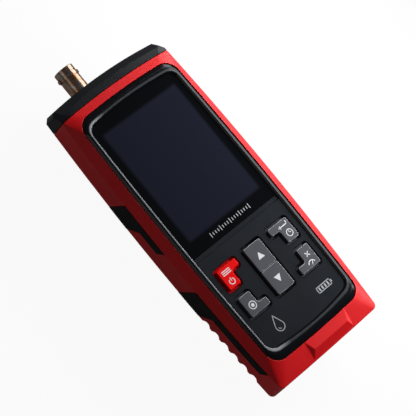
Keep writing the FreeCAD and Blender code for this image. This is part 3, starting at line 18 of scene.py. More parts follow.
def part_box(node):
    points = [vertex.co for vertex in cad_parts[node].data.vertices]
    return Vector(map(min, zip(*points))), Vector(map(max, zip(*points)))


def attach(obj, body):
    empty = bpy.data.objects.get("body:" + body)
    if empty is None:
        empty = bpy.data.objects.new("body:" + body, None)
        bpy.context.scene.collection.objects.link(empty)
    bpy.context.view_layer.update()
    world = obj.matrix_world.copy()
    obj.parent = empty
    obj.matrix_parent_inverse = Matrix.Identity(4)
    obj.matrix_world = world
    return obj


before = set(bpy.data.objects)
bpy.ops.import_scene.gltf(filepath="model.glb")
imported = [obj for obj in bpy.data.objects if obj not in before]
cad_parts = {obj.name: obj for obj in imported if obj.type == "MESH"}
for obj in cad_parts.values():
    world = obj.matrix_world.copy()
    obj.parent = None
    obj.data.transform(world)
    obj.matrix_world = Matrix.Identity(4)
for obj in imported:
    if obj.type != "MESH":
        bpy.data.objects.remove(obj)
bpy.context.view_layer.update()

MM = 0.001
PHOTO_SIDE = 416
LOG = logging.getLogger("meter")

Pair = tuple[float, float]
Point = tuple[float, float]
Place = tuple[float, float, float]
Polygon = list[Point]
Colour = tuple[float, float, float, float]

WHITE: Colour = (1.0, 1.0, 1.0, 1.0)
INK_HEIGHT = 0.03 * MM
# how fast a noise's finer octaves fade, and the range that its values seldom leave
NOISE_ROUGHNESS = 0.55
NOISE_RANGE: Pair = (0.3, 0.7)
# distance between the bands of a wave texture at a scale of one
WAVE_SPACING = math.pi / 10
# rays that a shader sends out to find an edge or a notch
EDGE_SAMPLES = 6


def linear(code: str) -> Colour:
    """Turn an sRGB hex colour into linear RGBA, by the sRGB transfer curve.

    Args:
        code: Six hex digits, with or without a leading hash.

    Returns:
        The linear colour with an alpha of one.
    """
    digits = code.lstrip("#")
    channels = [int(digits[k:k + 2], 16) / 255 for k in (0, 2, 4)]
    red, green, blue = (c / 12.92 if c <= 0.04045 else ((c + 0.055) / 1.055) ** 2.4 for c in channels)
    return red, green, blue, 1.0


def add_node(tree: bpy.types.NodeTree, kind: str, inputs: dict[Any, Any] | None = None,
             **settings: Any) -> bpy.types.Node:
    """Add one node with its settings, values and links.

    Args:
        tree: The shader or geometry tree to add to.
        kind: Blender's type name of the node.
        inputs: Input name or index to a value, or to the output socket that feeds it.
        **settings: Properties of the node itself.

    Returns:
        The new node.
    """
    node = tree.nodes.new(kind)
    for key, value in settings.items():
        setattr(node, key, value)
    for key, value in (inputs or {}).items():
        if isinstance(value, bpy.types.NodeSocket):
            tree.links.new(value, node.inputs[key])
        else:
            node.inputs[key].default_value = value
    return node


class Grain(Enum):
    """Surface textures of moulded plastic, as (grain across in mm, depth in mm).

    A real satin or spark texture is 0.03 to 0.1 mm across, too fine to show in the render, so SATIN
    and the two SPARK ones are drawn as coarse as they need to show. SMOOTH is the faint waviness of a
    polished tool.
    """

    SMOOTH = (2.5, 0.0008)
    SATIN = (0.16, 0.00016)
    SPARK_FINE = (0.14, 0.0005)
    SPARK_COARSE = (0.24, 0.0014)


@dataclass(frozen=True)
class Finish:
    """A named surface finish; each kind fills the shader in its own way."""

    name: str
    colour: str
    roughness: float
    ior: float = 1.5
    specular: float = 0.5

    def material(self) -> bpy.types.Material:
        """Make the Blender material of this finish, on first use.

        Returns:
            The material, the same one each time.
        """
        known = bpy.data.materials.get(self.name)
        if known:
            return known
        made = bpy.data.materials.new(self.name)
        made.use_nodes = True
        made.diffuse_color = linear(self.colour)
        tree = made.node_tree
        tree.nodes.clear()
        shader = add_node(tree, "ShaderNodeBsdfPrincipled",
                          {"Base Color": linear(self.colour), "Roughness": self.roughness, "IOR": self.ior,
                           "Specular IOR Level": self.specular})
        self.dress(tree, shader)
        add_node(tree, "ShaderNodeOutputMaterial", {"Surface": shader.outputs["BSDF"]})
        return made

    def dress(self, tree: bpy.types.NodeTree, shader: bpy.types.Node) -> None:
        """Add what this kind of finish has beyond one colour."""

    def on(self, piece: bpy.types.Object) -> bpy.types.Object:
        """Give a piece this finish all over.

        Args:
            piece: The object to dress.

        Returns:
            The same object.
        """
        piece.data.materials.clear()
        piece.data.materials.append(self.material())
        return piece


def patches(tree: bpy.types.NodeTree, size_mm: float, low: float = 0.0, high: float = 1.0,
            detail: float = 2.0) -> bpy.types.NodeSocket:
    """Return a value that varies over the surface in patches of a real size.

    Args:
        tree: The material's node tree.
        size_mm: Typical distance between patches, on object coordinates.
        low: Least value.
        high: Greatest value.
        detail: How many finer octaves are added.

    Returns:
        The socket that gives the value.
    """
    coords = add_node(tree, "ShaderNodeTexCoord").outputs["Object"]
    noise = add_node(tree, "ShaderNodeTexNoise",
                     {"Vector": coords, "Scale": 1.0 / (size_mm * MM), "Detail": detail,
                      "Roughness": NOISE_ROUGHNESS})
    ranged = add_node(tree, "ShaderNodeMapRange",
                      {"Value": noise.outputs["Fac"], "From Min": NOISE_RANGE[0], "From Max": NOISE_RANGE[1],
                       "To Min": low, "To Max": high})
    return ranged.outputs["Result"]


@dataclass(frozen=True)
class MouldedPlastic(Finish):
    """Injection-moulded plastic: faint clouding, and the tool's grain in gloss and relief.

    The pairs say where the lighter rim colour, painted as wear and as a highlight, begins and where it is
    full:
    off_the_flat and off_the_wall by the normal's Z, out_of_notches by how open the spot lies.
    """

    grain: Grain = Grain.SPARK_FINE
    cloud: str | None = None
    cloud_mm: float = 22.0
    gloss_mm: float = 9.0
    gloss_swing: float = 0.05
    detail: float = 3.0
    relief_strength: float = 0.6
    rounded_mm: float = 0.0
    # lighter colour painted on rims as wear and as a highlight; none when unset
    wear_and_highlight_colour: str | None = None
    wear_and_highlight_share: float = 0.6
    wear_and_highlight_mm: float = 3.0
    least_wear_and_highlight: float = 0.6
    off_the_flat: Pair = (0.985, 0.9)
    off_the_wall: Pair = (0.15, 0.45)
    out_of_notches: Pair = (0.8, 0.95)
    notch_mm: float = 0.5

    def dress(self, tree: bpy.types.NodeTree, shader: bpy.types.Node) -> None:
        """Add clouding, lighter rims painted as wear and as a highlight, gloss changes and the grain's
        relief.

        Args:
            tree: The material's node tree.
            shader: Its Principled shader.
        """
        cloud = patches(tree, self.cloud_mm, detail=self.detail)
        mixed = add_node(tree, "ShaderNodeMix",
                         {"Factor": cloud, "A": linear(self.colour), "B": linear(self.cloud or self.colour)},
                         data_type="RGBA")
        colour = mixed.outputs["Result"]
        # lighter rims painted as wear and as a highlight, mixed over the base colour
        if self.wear_and_highlight_colour:
            worn = add_node(tree, "ShaderNodeMix",
                            {"Factor": self.wear_and_highlight_mask(tree), "A": colour, "B": linear(self.wear_and_highlight_colour)},
                            data_type="RGBA")
            colour = worn.outputs["Result"]
        tree.links.new(colour, shader.inputs["Base Color"])
        gloss = patches(tree, self.gloss_mm, self.roughness - self.gloss_swing,
                        self.roughness + self.gloss_swing, self.detail)
        tree.links.new(gloss, shader.inputs["Roughness"])
        grain_mm, depth_mm = self.grain.value
        relief = add_node(tree, "ShaderNodeBump",
                          {"Height": patches(tree, grain_mm), "Distance": depth_mm * MM,
                           "Strength": self.relief_strength})
        if self.rounded_mm:
            rounded = add_node(tree, "ShaderNodeBevel", {"Radius": self.rounded_mm * MM},
                               samples=EDGE_SAMPLES)
            tree.links.new(rounded.outputs["Normal"], relief.inputs["Normal"])
        tree.links.new(relief.outputs["Normal"], shader.inputs["Normal"])

    def wear_and_highlight_mask(self, tree: bpy.types.NodeTree) -> bpy.types.NodeSocket:
        """Find the share of the lighter rim colour, painted as wear and as a highlight: high on the rounded
        rim of the top, none inside notches.

        Args:
            tree: The material's node tree.

        Returns:
            The socket that gives the share, from 0 to wear_and_highlight_share.
        """
        normal = add_node(tree, "ShaderNodeTexCoord").outputs["Normal"]
        upward = add_node(tree, "ShaderNodeSeparateXYZ", {0: normal}).outputs["Z"]
        sky = add_node(tree, "ShaderNodeAmbientOcclusion", {"Distance": self.notch_mm * MM},
                       samples=EDGE_SAMPLES, only_local=True).outputs["AO"]
        share = patches(tree, self.wear_and_highlight_mm, self.least_wear_and_highlight, 1.0)
        factors = ((upward, self.off_the_flat, 1.0), (upward, self.off_the_wall, 1.0),
                   (sky, self.out_of_notches, self.wear_and_highlight_share))
        for value, (begins, full), most in factors:
            factor = add_node(tree, "ShaderNodeMapRange",
                              {"Value": value, "From Min": begins, "From Max": full, "To Max": most})
            share = add_node(tree, "ShaderNodeMath", {0: share, 1: factor.outputs["Result"]},
                             operation="MULTIPLY").outputs[0]
        return share


@dataclass(frozen=True)
class CrestHighlightPlastic(MouldedPlastic):
    """Moulded plastic with a highlight painted in light grey along its raised crest, strongest on the left
    side, whose lip faces the lamps.

    The crest is a height above the meter's back and the two sides are places across its face.
    """

    least_wear_and_highlight: float = 0.75
    crest_mm: float = 34.0
    band_mm: float = 0.13
    # the painted highlight is full at the first X and fades to a small share at the second
    highlight_side_mm: float = -22.0
    dim_side_mm: float = -15.0
    dim_side_share: float = 0.12

    def wear_and_highlight_mask(self, tree: bpy.types.NodeTree) -> bpy.types.NodeSocket:
        """Find the share of the painted highlight: only at the crest, fading away from the lit left side.

        Args:
            tree: The material's node tree.

        Returns:
            The socket that gives the share, from 0 to wear_and_highlight_share.
        """
        coords = add_node(tree, "ShaderNodeTexCoord").outputs["Object"]
        axes = add_node(tree, "ShaderNodeSeparateXYZ", {0: coords}).outputs
        crest = add_node(tree, "ShaderNodeMapRange",
                         {"Value": axes["Z"], "From Min": (self.crest_mm - self.band_mm) * MM,
                          "From Max": (self.crest_mm - self.band_mm / 2) * MM, "To Max": self.wear_and_highlight_share})
        side = add_node(tree, "ShaderNodeMapRange",
                        {"Value": axes["X"], "From Min": self.dim_side_mm * MM,
                         "From Max": self.highlight_side_mm * MM, "To Min": self.dim_side_share})
        # painted highlight along the crest, strongest on the left side that faces the lamps
        worn = add_node(tree, "ShaderNodeMath", {0: crest.outputs["Result"], 1: side.outputs["Result"]},
                        operation="MULTIPLY")
        broken = patches(tree, self.wear_and_highlight_mm, self.least_wear_and_highlight, 1.0)
        share = add_node(tree, "ShaderNodeMath", {0: worn.outputs[0], 1: broken}, operation="MULTIPLY")
        return share.outputs[0]


@dataclass(frozen=True)
class PlatedMetal(Finish):
    """Turned and plated metal: rings round the tool's axis, worn through to the base metal.

    A turning tool leaves rings about 0.1 mm apart. They are drawn far wider, so that they show.
    """

    worn_colour: str = "#C07F3A"
    worn_share: float = 0.35
    worn_mm: float = 4.0
    worn_detail: float = 3.0
    ring_mm: float = 2.2
    ring_unevenness: float = 0.4
    ring_depth_mm: float = 0.006
    ring_strength: float = 0.5
    gloss_mm: float = 0.8
    gloss_range: Pair = (0.7, 1.5)

    def dress(self, tree: bpy.types.NodeTree, shader: bpy.types.Node) -> None:
        """Add the turning rings, the worn patches and the changes in gloss.

        Args:
            tree: The material's node tree.
            shader: Its Principled shader.
        """
        coords = add_node(tree, "ShaderNodeTexCoord").outputs["Object"]
        rings = add_node(tree, "ShaderNodeTexWave",
                         {"Vector": coords, "Scale": WAVE_SPACING / (self.ring_mm * MM),
                          "Distortion": self.ring_unevenness},
                         wave_type="BANDS", bands_direction="Y")
        # a swing of one about the share runs from whole plate to bare base metal
        worn = patches(tree, self.worn_mm, self.worn_share - 0.5, self.worn_share + 0.5, self.worn_detail)
        mixed = add_node(tree, "ShaderNodeMix",
                         {"Factor": worn, "A": linear(self.colour), "B": linear(self.worn_colour)},
                         data_type="RGBA")
        tree.links.new(mixed.outputs["Result"], shader.inputs["Base Color"])
        least, most = (self.roughness * factor for factor in self.gloss_range)
        tree.links.new(patches(tree, self.gloss_mm, least, most), shader.inputs["Roughness"])
        shader.inputs["Metallic"].default_value = 1.0
        relief = add_node(tree, "ShaderNodeBump",
                          {"Height": rings.outputs["Fac"], "Distance": self.ring_depth_mm * MM,
                           "Strength": self.ring_strength})
        tree.links.new(relief.outputs["Normal"], shader.inputs["Normal"])


@dataclass(frozen=True)
class BackPrintedAcrylic(Finish):
    """Clear acrylic printed black on its back, with the dark display showing through a window.

    The window's corners are in metres, in the frame of the model. A smear is rougher than the clean
    lens by the factor smear_roughness.
    """

    display_colour: str = "#1C1E2A"
    low: Point = (-0.0222, -0.01025)
    high: Point = (0.0222, 0.04875)
    edge_mm: float = 2.2
    smear_mm: float = 9.0
    smear_roughness: float = 2.5

    def dress(self, tree: bpy.types.NodeTree, shader: bpy.types.Node) -> None:
        """Mix the display's colour into the print inside the window, and add finger smears.

        Args:
            tree: The material's node tree.
            shader: Its Principled shader.
        """
        coords = add_node(tree, "ShaderNodeTexCoord").outputs["Object"]
        axes = add_node(tree, "ShaderNodeSeparateXYZ", {0: coords}).outputs
        fade = self.edge_mm * MM / 2
        steps = []
        for axis, low, high in zip("XY", self.low, self.high):
            middle, half = (low + high) / 2, (high - low) / 2
            offset = add_node(tree, "ShaderNodeMath", {0: axes[axis], 1: middle}, operation="SUBTRACT")
            away = add_node(tree, "ShaderNodeMath", {0: offset.outputs[0]}, operation="ABSOLUTE")
            step = add_node(tree, "ShaderNodeMapRange",
                            {"Value": away.outputs[0], "From Min": half + fade, "From Max": half - fade},
                            interpolation_type="SMOOTHSTEP")
            steps.append(step.outputs["Result"])
        inside = add_node(tree, "ShaderNodeMath", {0: steps[0], 1: steps[1]}, operation="MULTIPLY")
        mixed = add_node(tree, "ShaderNodeMix",
                         {"Factor": inside.outputs[0], "A": linear(self.colour),
                          "B": linear(self.display_colour)}, data_type="RGBA")
        tree.links.new(mixed.outputs["Result"], shader.inputs["Base Color"])
        smears = patches(tree, self.smear_mm, self.roughness, self.roughness * self.smear_roughness)
        tree.links.new(smears, shader.inputs["Roughness"])


# ABS, injection moulded in a spark-eroded tool: even red with a soft, slightly broken sheen
RED_ABS = MouldedPlastic("red_abs_spark_texture", "#E80812", 0.46, 1.54, 0.42, Grain.SPARK_FINE, "#DE0710",
                         rounded_mm=0.4)
# ABS and polycarbonate blend, fine spark texture: blue-black, dull until a light grazes it
BLACK_ABS = MouldedPlastic("black_abs_spark_texture", "#0A0D15", 0.36, 1.54, 0.5, Grain.SPARK_FINE, "#070A11",
                           rounded_mm=0.6)
# The same blend from a polished tool: satin black whose rounded edges draw sharp light lines, with a
# light-grey highlight painted along its crest, strongest on the left side
BLACK_SATIN = CrestHighlightPlastic("black_abs_satin_crest_highlight", "#0A0C11", 0.15, 1.54, 0.5, Grain.SATIN, "#080A0E",
                               gloss_swing=0.02, wear_and_highlight_colour="#B4B8BD", wear_and_highlight_share=0.95, rounded_mm=0.45)
# ABS keypad plate, coarser spark texture that scatters light into a slate tone
SLATE_ABS = MouldedPlastic("slate_abs_spark_texture", "#11161E", 0.42, 1.54, 0.3, Grain.SPARK_COARSE,
                           "#0E1319")
# Acrylic lens, printed black on its back: deep gloss with faint finger smears
LENS_ACRYLIC = BackPrintedAcrylic("black_back_printed_acrylic", "#090A0D", 0.05, 1.49, 0.3)
# Key caps moulded in grey ABS, satin: a light grey painted on their rounded rims, as wear and as a highlight
GREY_KEY = MouldedPlastic("grey_abs_satin_key_rim_wear_and_highlight", "#55565C", 0.34, 1.54, 0.4, Grain.SATIN, "#505157",
                          wear_and_highlight_colour="#C4C5CA", wear_and_highlight_share=0.9)
# Key cap moulded in red ABS, satin: one strong red with little sheen on it
RED_KEY = MouldedPlastic("red_abs_satin_key", "#F4070A", 0.4, 1.54, 0.18, Grain.SATIN, "#EC0609")
# Thermoplastic rubber overmould: matt black, almost no sheen
GRIP_RUBBER = MouldedPlastic("black_thermoplastic_rubber", "#0E0F11", 0.6, 1.5, 0.3, Grain.SPARK_COARSE,
                             "#0B0C0E")
# Bright nickel plate over turned brass, brass showing where plugs have rubbed
NICKEL = PlatedMetal("nickel_plated_turned_brass", "#DDD9D2", 0.2, worn_colour="#C87E38", worn_share=0.5)
# Zinc-plated steel, formed and tumbled: cool grey with a soft shine
STEEL = PlatedMetal("zinc_plated_steel", "#A9ABAE", 0.3, worn_colour="#8E8F92", worn_share=0.3, ring_mm=3.14)
# Hard gold over nickel on the contact: warm yellow, bright
GILT = PlatedMetal("gold_plated_contact", "#D8B25A", 0.2, worn_colour="#C79A45", worn_share=0.4,
                   ring_mm=1.885)
# Turned acetal insulator, waxy white
ACETAL = MouldedPlastic("white_acetal", "#E4E2DA", 0.35, 1.48, 0.5, Grain.SMOOTH, "#DCD9D0")
# Nitrile rubber ring and black foam: dull black
NITRILE = MouldedPlastic("black_nitrile_rubber", "#0E0E0F", 0.55, 1.52, 0.5, Grain.SATIN, "#121213")
# Glass-fibre laminate under green solder mask: deep green under a glassy coat
SOLDER_MASK = MouldedPlastic("green_solder_mask_laminate", "#0F4A26", 0.3, 1.55, 0.5, Grain.SMOOTH,
                             "#0C4021")
# Black filled epoxy and nylon of chips, headers and the holder: charcoal with an even, dry sheen
BLACK_NYLON = MouldedPlastic("black_moulded_nylon", "#131416", 0.5, 1.53, 0.5, Grain.SATIN, "#101113")
# Translucent grey silicone of the key mat: soft and a little waxy
SILICONE = MouldedPlastic("grey_silicone_rubber", "#77787B", 0.5, 1.41, 0.5, Grain.SATIN, "#6E6F72")
# Polycarbonate light guide in its white frame: smooth milky white
WHITE_PC = MouldedPlastic("white_polycarbonate", "#DADBDA", 0.3, 1.58, 0.5, Grain.SMOOTH, "#D2D3D2")
# Polyimide flex, amber and shiny
POLYIMIDE = MouldedPlastic("amber_polyimide_film", "#B3641A", 0.25, 1.7, 0.5, Grain.SMOOTH, "#A85B14")
# Shrink sleeve of the battery cells: plain dark grey, tight and glossy
CELL_SLEEVE = MouldedPlastic("grey_shrink_sleeve", "#3B3D42", 0.28, 1.5, 0.5, Grain.SMOOTH, "#36383D")
# Screen-printed ink, opaque white with a dry surface
WHITE_INK = MouldedPlastic("white_screen_ink", "#E9EAEC", 0.5, 1.5, 0.5, Grain.SATIN, "#E1E2E4")
# The same ink thinned to grey, which reads as the fainter print
GREY_INK = MouldedPlastic("grey_screen_ink", "#B4B6BA", 0.5, 1.5, 0.5, Grain.SATIN, "#ACAEB2")

NODE_FINISHES: dict[str, Finish] = {
    "front_shell": RED_ABS, "rear_shell": RED_ABS, "top_cap": BLACK_ABS, "front_frame": BLACK_SATIN,
    "display_lens": LENS_ACRYLIC, "lens_tape": NITRILE, "keypad_plate": SLATE_ABS, "key_menu_power": RED_KEY,
    "key_record": GREY_KEY, "key_enter": GREY_KEY, "key_delete_measure": GREY_KEY, "rocker_up_down": GREY_KEY,
    "rocker_pin": STEEL, "keypad_mat": SILICONE, "dome_switches": STEEL, "display_foam": NITRILE,
    "display_panel": LENS_ACRYLIC, "display_backlight": WHITE_PC, "display_bracket": BLACK_NYLON,
    "display_flex": POLYIMIDE, "main_board": SOLDER_MASK, "board_components": BLACK_NYLON,
    "board_screws": STEEL, "buzzer": BLACK_NYLON, "case_screws": STEEL, "electrode_socket_shell": NICKEL,
    "electrode_socket_insulator": ACETAL, "electrode_socket_contact": GILT, "electrode_socket_seal": NITRILE,
    "electrode_socket_washer": STEEL, "electrode_socket_nut": NICKEL, "probe_socket": BLACK_NYLON,
    "probe_socket_pins": GILT, "input_board": SOLDER_MASK, "board_header": BLACK_NYLON,
    "battery_holder": BLACK_NYLON, "battery_springs": STEEL, "battery_contacts": STEEL,
    "battery_door": BLACK_ABS, "battery_cell_left": CELL_SLEEVE, "battery_cell_middle": CELL_SLEEVE,
    "battery_cell_right": CELL_SLEEVE, "grip_inlay_left_upper": GRIP_RUBBER,
    "grip_inlay_left_lower": GRIP_RUBBER, "grip_inlay_right_upper": GRIP_RUBBER,
    "grip_inlay_right_lower": GRIP_RUBBER,
}


def shifted(start: Point, right: float, up: float) -> Point:
    """Return a point moved right and up."""
    return start[0] + right, start[1] + up


class Glyphs:
    """Flat shapes that printed marks are made of, as lists of convex polygons in metres."""

    DEGREES_PER_STEP = 12
    FEWEST_STEPS = 6
    DISC_SIDES = 24

    @staticmethod
    def bar(start: Point, end: Point, width: float) -> list[Polygon]:
        """Draw a straight stroke with square ends.

        Args:
            start: Middle of its one end; the stroke reaches half its width further.
            end: Middle of its other end.
            width: Width of the stroke.

        Returns:
            One polygon.
        """
        along = (Vector(end) - Vector(start)).normalized() * (width / 2)
        across = Vector((-along.y, along.x))
        a, b = Vector(start) - along, Vector(end) + along
        return [[tuple(a - across), tuple(b - across), tuple(b + across), tuple(a + across)]]

    @staticmethod
    def path(points: Polygon, width: float) -> list[Polygon]:
        """Return strokes along a bent line."""
        return [polygon for a, b in zip(points, points[1:]) for polygon in Glyphs.bar(a, b, width)]

    @staticmethod
    def arc(centre: Point, radius: float, width: float, start: float, sweep: float) -> list[Polygon]:
        """Draw a curved stroke.

        Args:
            centre: Centre of the curve.
            radius: Radius of the stroke's middle line.
            width: Width of the stroke.
            start: Where it starts, in degrees from +X.
            sweep: How far it goes, in degrees, against the clock.

        Returns:
            Its polygons, one for each step.
        """
        steps = max(Glyphs.FEWEST_STEPS, int(abs(sweep) / Glyphs.DEGREES_PER_STEP))
        inner, outer = radius - width / 2, radius + width / 2
        polygons = []
        for k in range(steps):
            a0 = math.radians(start + sweep * k / steps)
            a1 = math.radians(start + sweep * (k + 1) / steps)
            ring = [(inner, a0), (outer, a0), (outer, a1), (inner, a1)]
            polygons.append([shifted(centre, r * math.cos(a), r * math.sin(a)) for r, a in ring])
        return polygons

    @staticmethod
    def disc(centre: Point, radius: float) -> list[Polygon]:
        """Return a filled circle."""
        angles = [2 * math.pi * k / Glyphs.DISC_SIDES for k in range(Glyphs.DISC_SIDES)]
        return [[shifted(centre, radius * math.cos(a), radius * math.sin(a)) for a in angles]]

    @staticmethod
    def arrow_head(centre: Point, base: float, height: float) -> list[Polygon]:
        """Draw a filled arrow head.

        Args:
            centre: Middle of its box.
            base: Width of its foot.
            height: Height from foot to tip, negative where it points down.

        Returns:
            One polygon.
        """
        side = math.copysign(base / 2, height)
        return [[shifted(centre, -side, -height / 2), shifted(centre, side, -height / 2),
                 shifted(centre, 0.0, height / 2)]]


def printed_piece(name: str, polygons: list[Polygon], surface_z: float, ink: Finish,
                  body: str) -> bpy.types.Object:
    """Make one printed mark as a thin raised piece.

    Args:
        name: Name of the piece.
        polygons: Convex outlines, seen from above.
        surface_z: Height of the surface that it is printed on.
        ink: Its finish.
        body: The moving body that it rides on.

    Returns:
        The finished object.
    """
    mesh = bpy.data.meshes.new(name)
    work = bmesh.new()
    for polygon in polygons:
        low = [work.verts.new((x, y, surface_z)) for x, y in polygon]
        high = [work.verts.new((x, y, surface_z + INK_HEIGHT)) for x, y in polygon]
        work.faces.new(low[::-1])
        work.faces.new(high)
        for k in range(len(low)):
            after = (k + 1) % len(low)
            work.faces.new((low[k], low[after], high[after], high[k]))
    bmesh.ops.recalc_face_normals(work, faces=work.faces)
    work.to_mesh(mesh)
    work.free()
    piece = bpy.data.objects.new(name, mesh)
    bpy.context.scene.collection.objects.link(piece)
    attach(ink.on(piece), body)
    LOG.info("printed %s with %d shapes", name, len(polygons))
    return piece


@dataclass
class KeyMarks:
    """Pictograms on the keys, placed from a corner or the middle of each key's own box.

    A place is (right, up) from there, and an arc is (start, sweep) in degrees. The strokes of the
    clock, its hands and the needle are shares of the usual stroke.
    """

    stroke: float = 0.42 * MM
    menu_place: Point = (5.3 * MM, -4.1 * MM)
    menu_ends: Pair = (-2.0 * MM, 2.4 * MM)
    menu_pitch: float = 0.85 * MM
    power_place: Point = (5.0 * MM, -8.7 * MM)
    power_radius: float = 1.35 * MM
    power_arc: Pair = (125.0, 290.0)
    power_bar: Pair = (0.4 * MM, 1.6 * MM)
    record_place: Point = (5.3 * MM, 5.6 * MM)
    record_dot: float = 0.85 * MM
    record_ring: float = 1.75 * MM
    return_place: Point = (-5.6 * MM, -3.6 * MM)
    return_half: float = 2.6 * MM
    return_levels: Pair = (0.8 * MM, -0.5 * MM)
    return_neck: float = 0.8 * MM
    return_head: Pair = (1.3 * MM, 0.9 * MM)
    clock_place: Point = (-4.7 * MM, -8.2 * MM)
    clock_radius: float = 1.6 * MM
    clock_hands: Pair = (0.7 * MM, 0.95 * MM)
    clock_stroke: float = 0.85
    hand_stroke: float = 0.7
    cross_place: Point = (-4.9 * MM, -5.6 * MM)
    cross_arm: float = 0.85 * MM
    gauge_place: Point = (-5.8 * MM, 2.5 * MM)
    gauge_radius: float = 1.9 * MM
    gauge_arc: Pair = (15.0, 150.0)
    gauge_needle: Point = (0.8 * MM, 1.2 * MM)
    needle_stroke: float = 0.8
    arrow_up: float = 6.3 * MM
    arrow_down: float = -6.6 * MM
    arrow_base: float = 3.7 * MM
    arrow_height: float = 3.2 * MM

    def build(self) -> None:
        """Print every key."""
        self.print_power_key()
        self.print_record_key()
        self.print_enter_key()
        self.print_delete_key()
        self.print_rocker()

    def print_power_key(self) -> None:
        """Print menu bars and the power symbol on the red key."""
        low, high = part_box("key_menu_power")
        corner = (low.x, high.y)
        menu = shifted(corner, *self.menu_place)
        marks = []
        for k in (-1, 0, 1):
            left, right = (shifted(menu, end, k * self.menu_pitch) for end in self.menu_ends)
            marks += Glyphs.bar(left, right, self.stroke)
        centre = shifted(corner, *self.power_place)
        marks += Glyphs.arc(centre, self.power_radius, self.stroke, *self.power_arc)
        foot, top = (shifted(centre, 0.0, end) for end in self.power_bar)
        marks += Glyphs.bar(foot, top, self.stroke)
        printed_piece("marks_menu_power", marks, high.z, WHITE_INK, "key_menu_power")

    def print_record_key(self) -> None:
        """Print a dot in a ring on the record key."""
        low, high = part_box("key_record")
        centre = shifted((low.x, low.y), *self.record_place)
        marks = Glyphs.disc(centre, self.record_dot)
        marks += Glyphs.arc(centre, self.record_ring, self.stroke, 0, 360)
        printed_piece("marks_record", marks, high.z, WHITE_INK, "key_record")

    def print_enter_key(self) -> None:
        """Print a return arrow and a small clock on the enter key."""
        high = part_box("key_enter")[1]
        middle = shifted((high.x, high.y), *self.return_place)
        tail_level, shaft_level = self.return_levels
        tip = shifted(middle, -self.return_half, shaft_level)
        marks = Glyphs.path([shifted(middle, self.return_half, tail_level),
                             shifted(middle, self.return_half, shaft_level),
                             shifted(tip, self.return_neck, 0.0)], self.stroke)
        length, half_width = self.return_head
        marks.append([tip, shifted(tip, length, -half_width), shifted(tip, length, half_width)])
        centre = shifted((high.x, high.y), *self.clock_place)
        marks += Glyphs.arc(centre, self.clock_radius, self.stroke * self.clock_stroke, 0, 360)
        right_hand, upper_hand = self.clock_hands
        marks += Glyphs.path([shifted(centre, 0.0, upper_hand), centre, shifted(centre, right_hand, 0.0)],
                             self.stroke * self.hand_stroke)
        printed_piece("marks_enter", marks, high.z, WHITE_INK, "key_enter")

    def print_delete_key(self) -> None:
        """Print a cross and a small gauge on the lower right key."""
        low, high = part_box("key_delete_measure")
        cross, arm = shifted((high.x, high.y), *self.cross_place), self.cross_arm
        marks = Glyphs.bar(shifted(cross, -arm, -arm), shifted(cross, arm, arm), self.stroke)
        marks += Glyphs.bar(shifted(cross, -arm, arm), shifted(cross, arm, -arm), self.stroke)
        gauge = shifted((high.x, low.y), *self.gauge_place)
        marks += Glyphs.arc(gauge, self.gauge_radius, self.stroke, *self.gauge_arc)
        marks += Glyphs.bar(gauge, shifted(gauge, *self.gauge_needle), self.stroke * self.needle_stroke)
        printed_piece("marks_delete_measure", marks, high.z, WHITE_INK, "key_delete_measure")

    def print_rocker(self) -> None:
        """Print the two arrow heads on the rocker."""
        low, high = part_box("rocker_up_down")
        middle = ((low.x + high.x) / 2, (low.y + high.y) / 2)
        marks = Glyphs.arrow_head(shifted(middle, 0.0, self.arrow_up), self.arrow_base, self.arrow_height)
        marks += Glyphs.arrow_head(shifted(middle, 0.0, self.arrow_down), self.arrow_base, -self.arrow_height)
        printed_piece("marks_rocker", marks, high.z, WHITE_INK, "rocker")


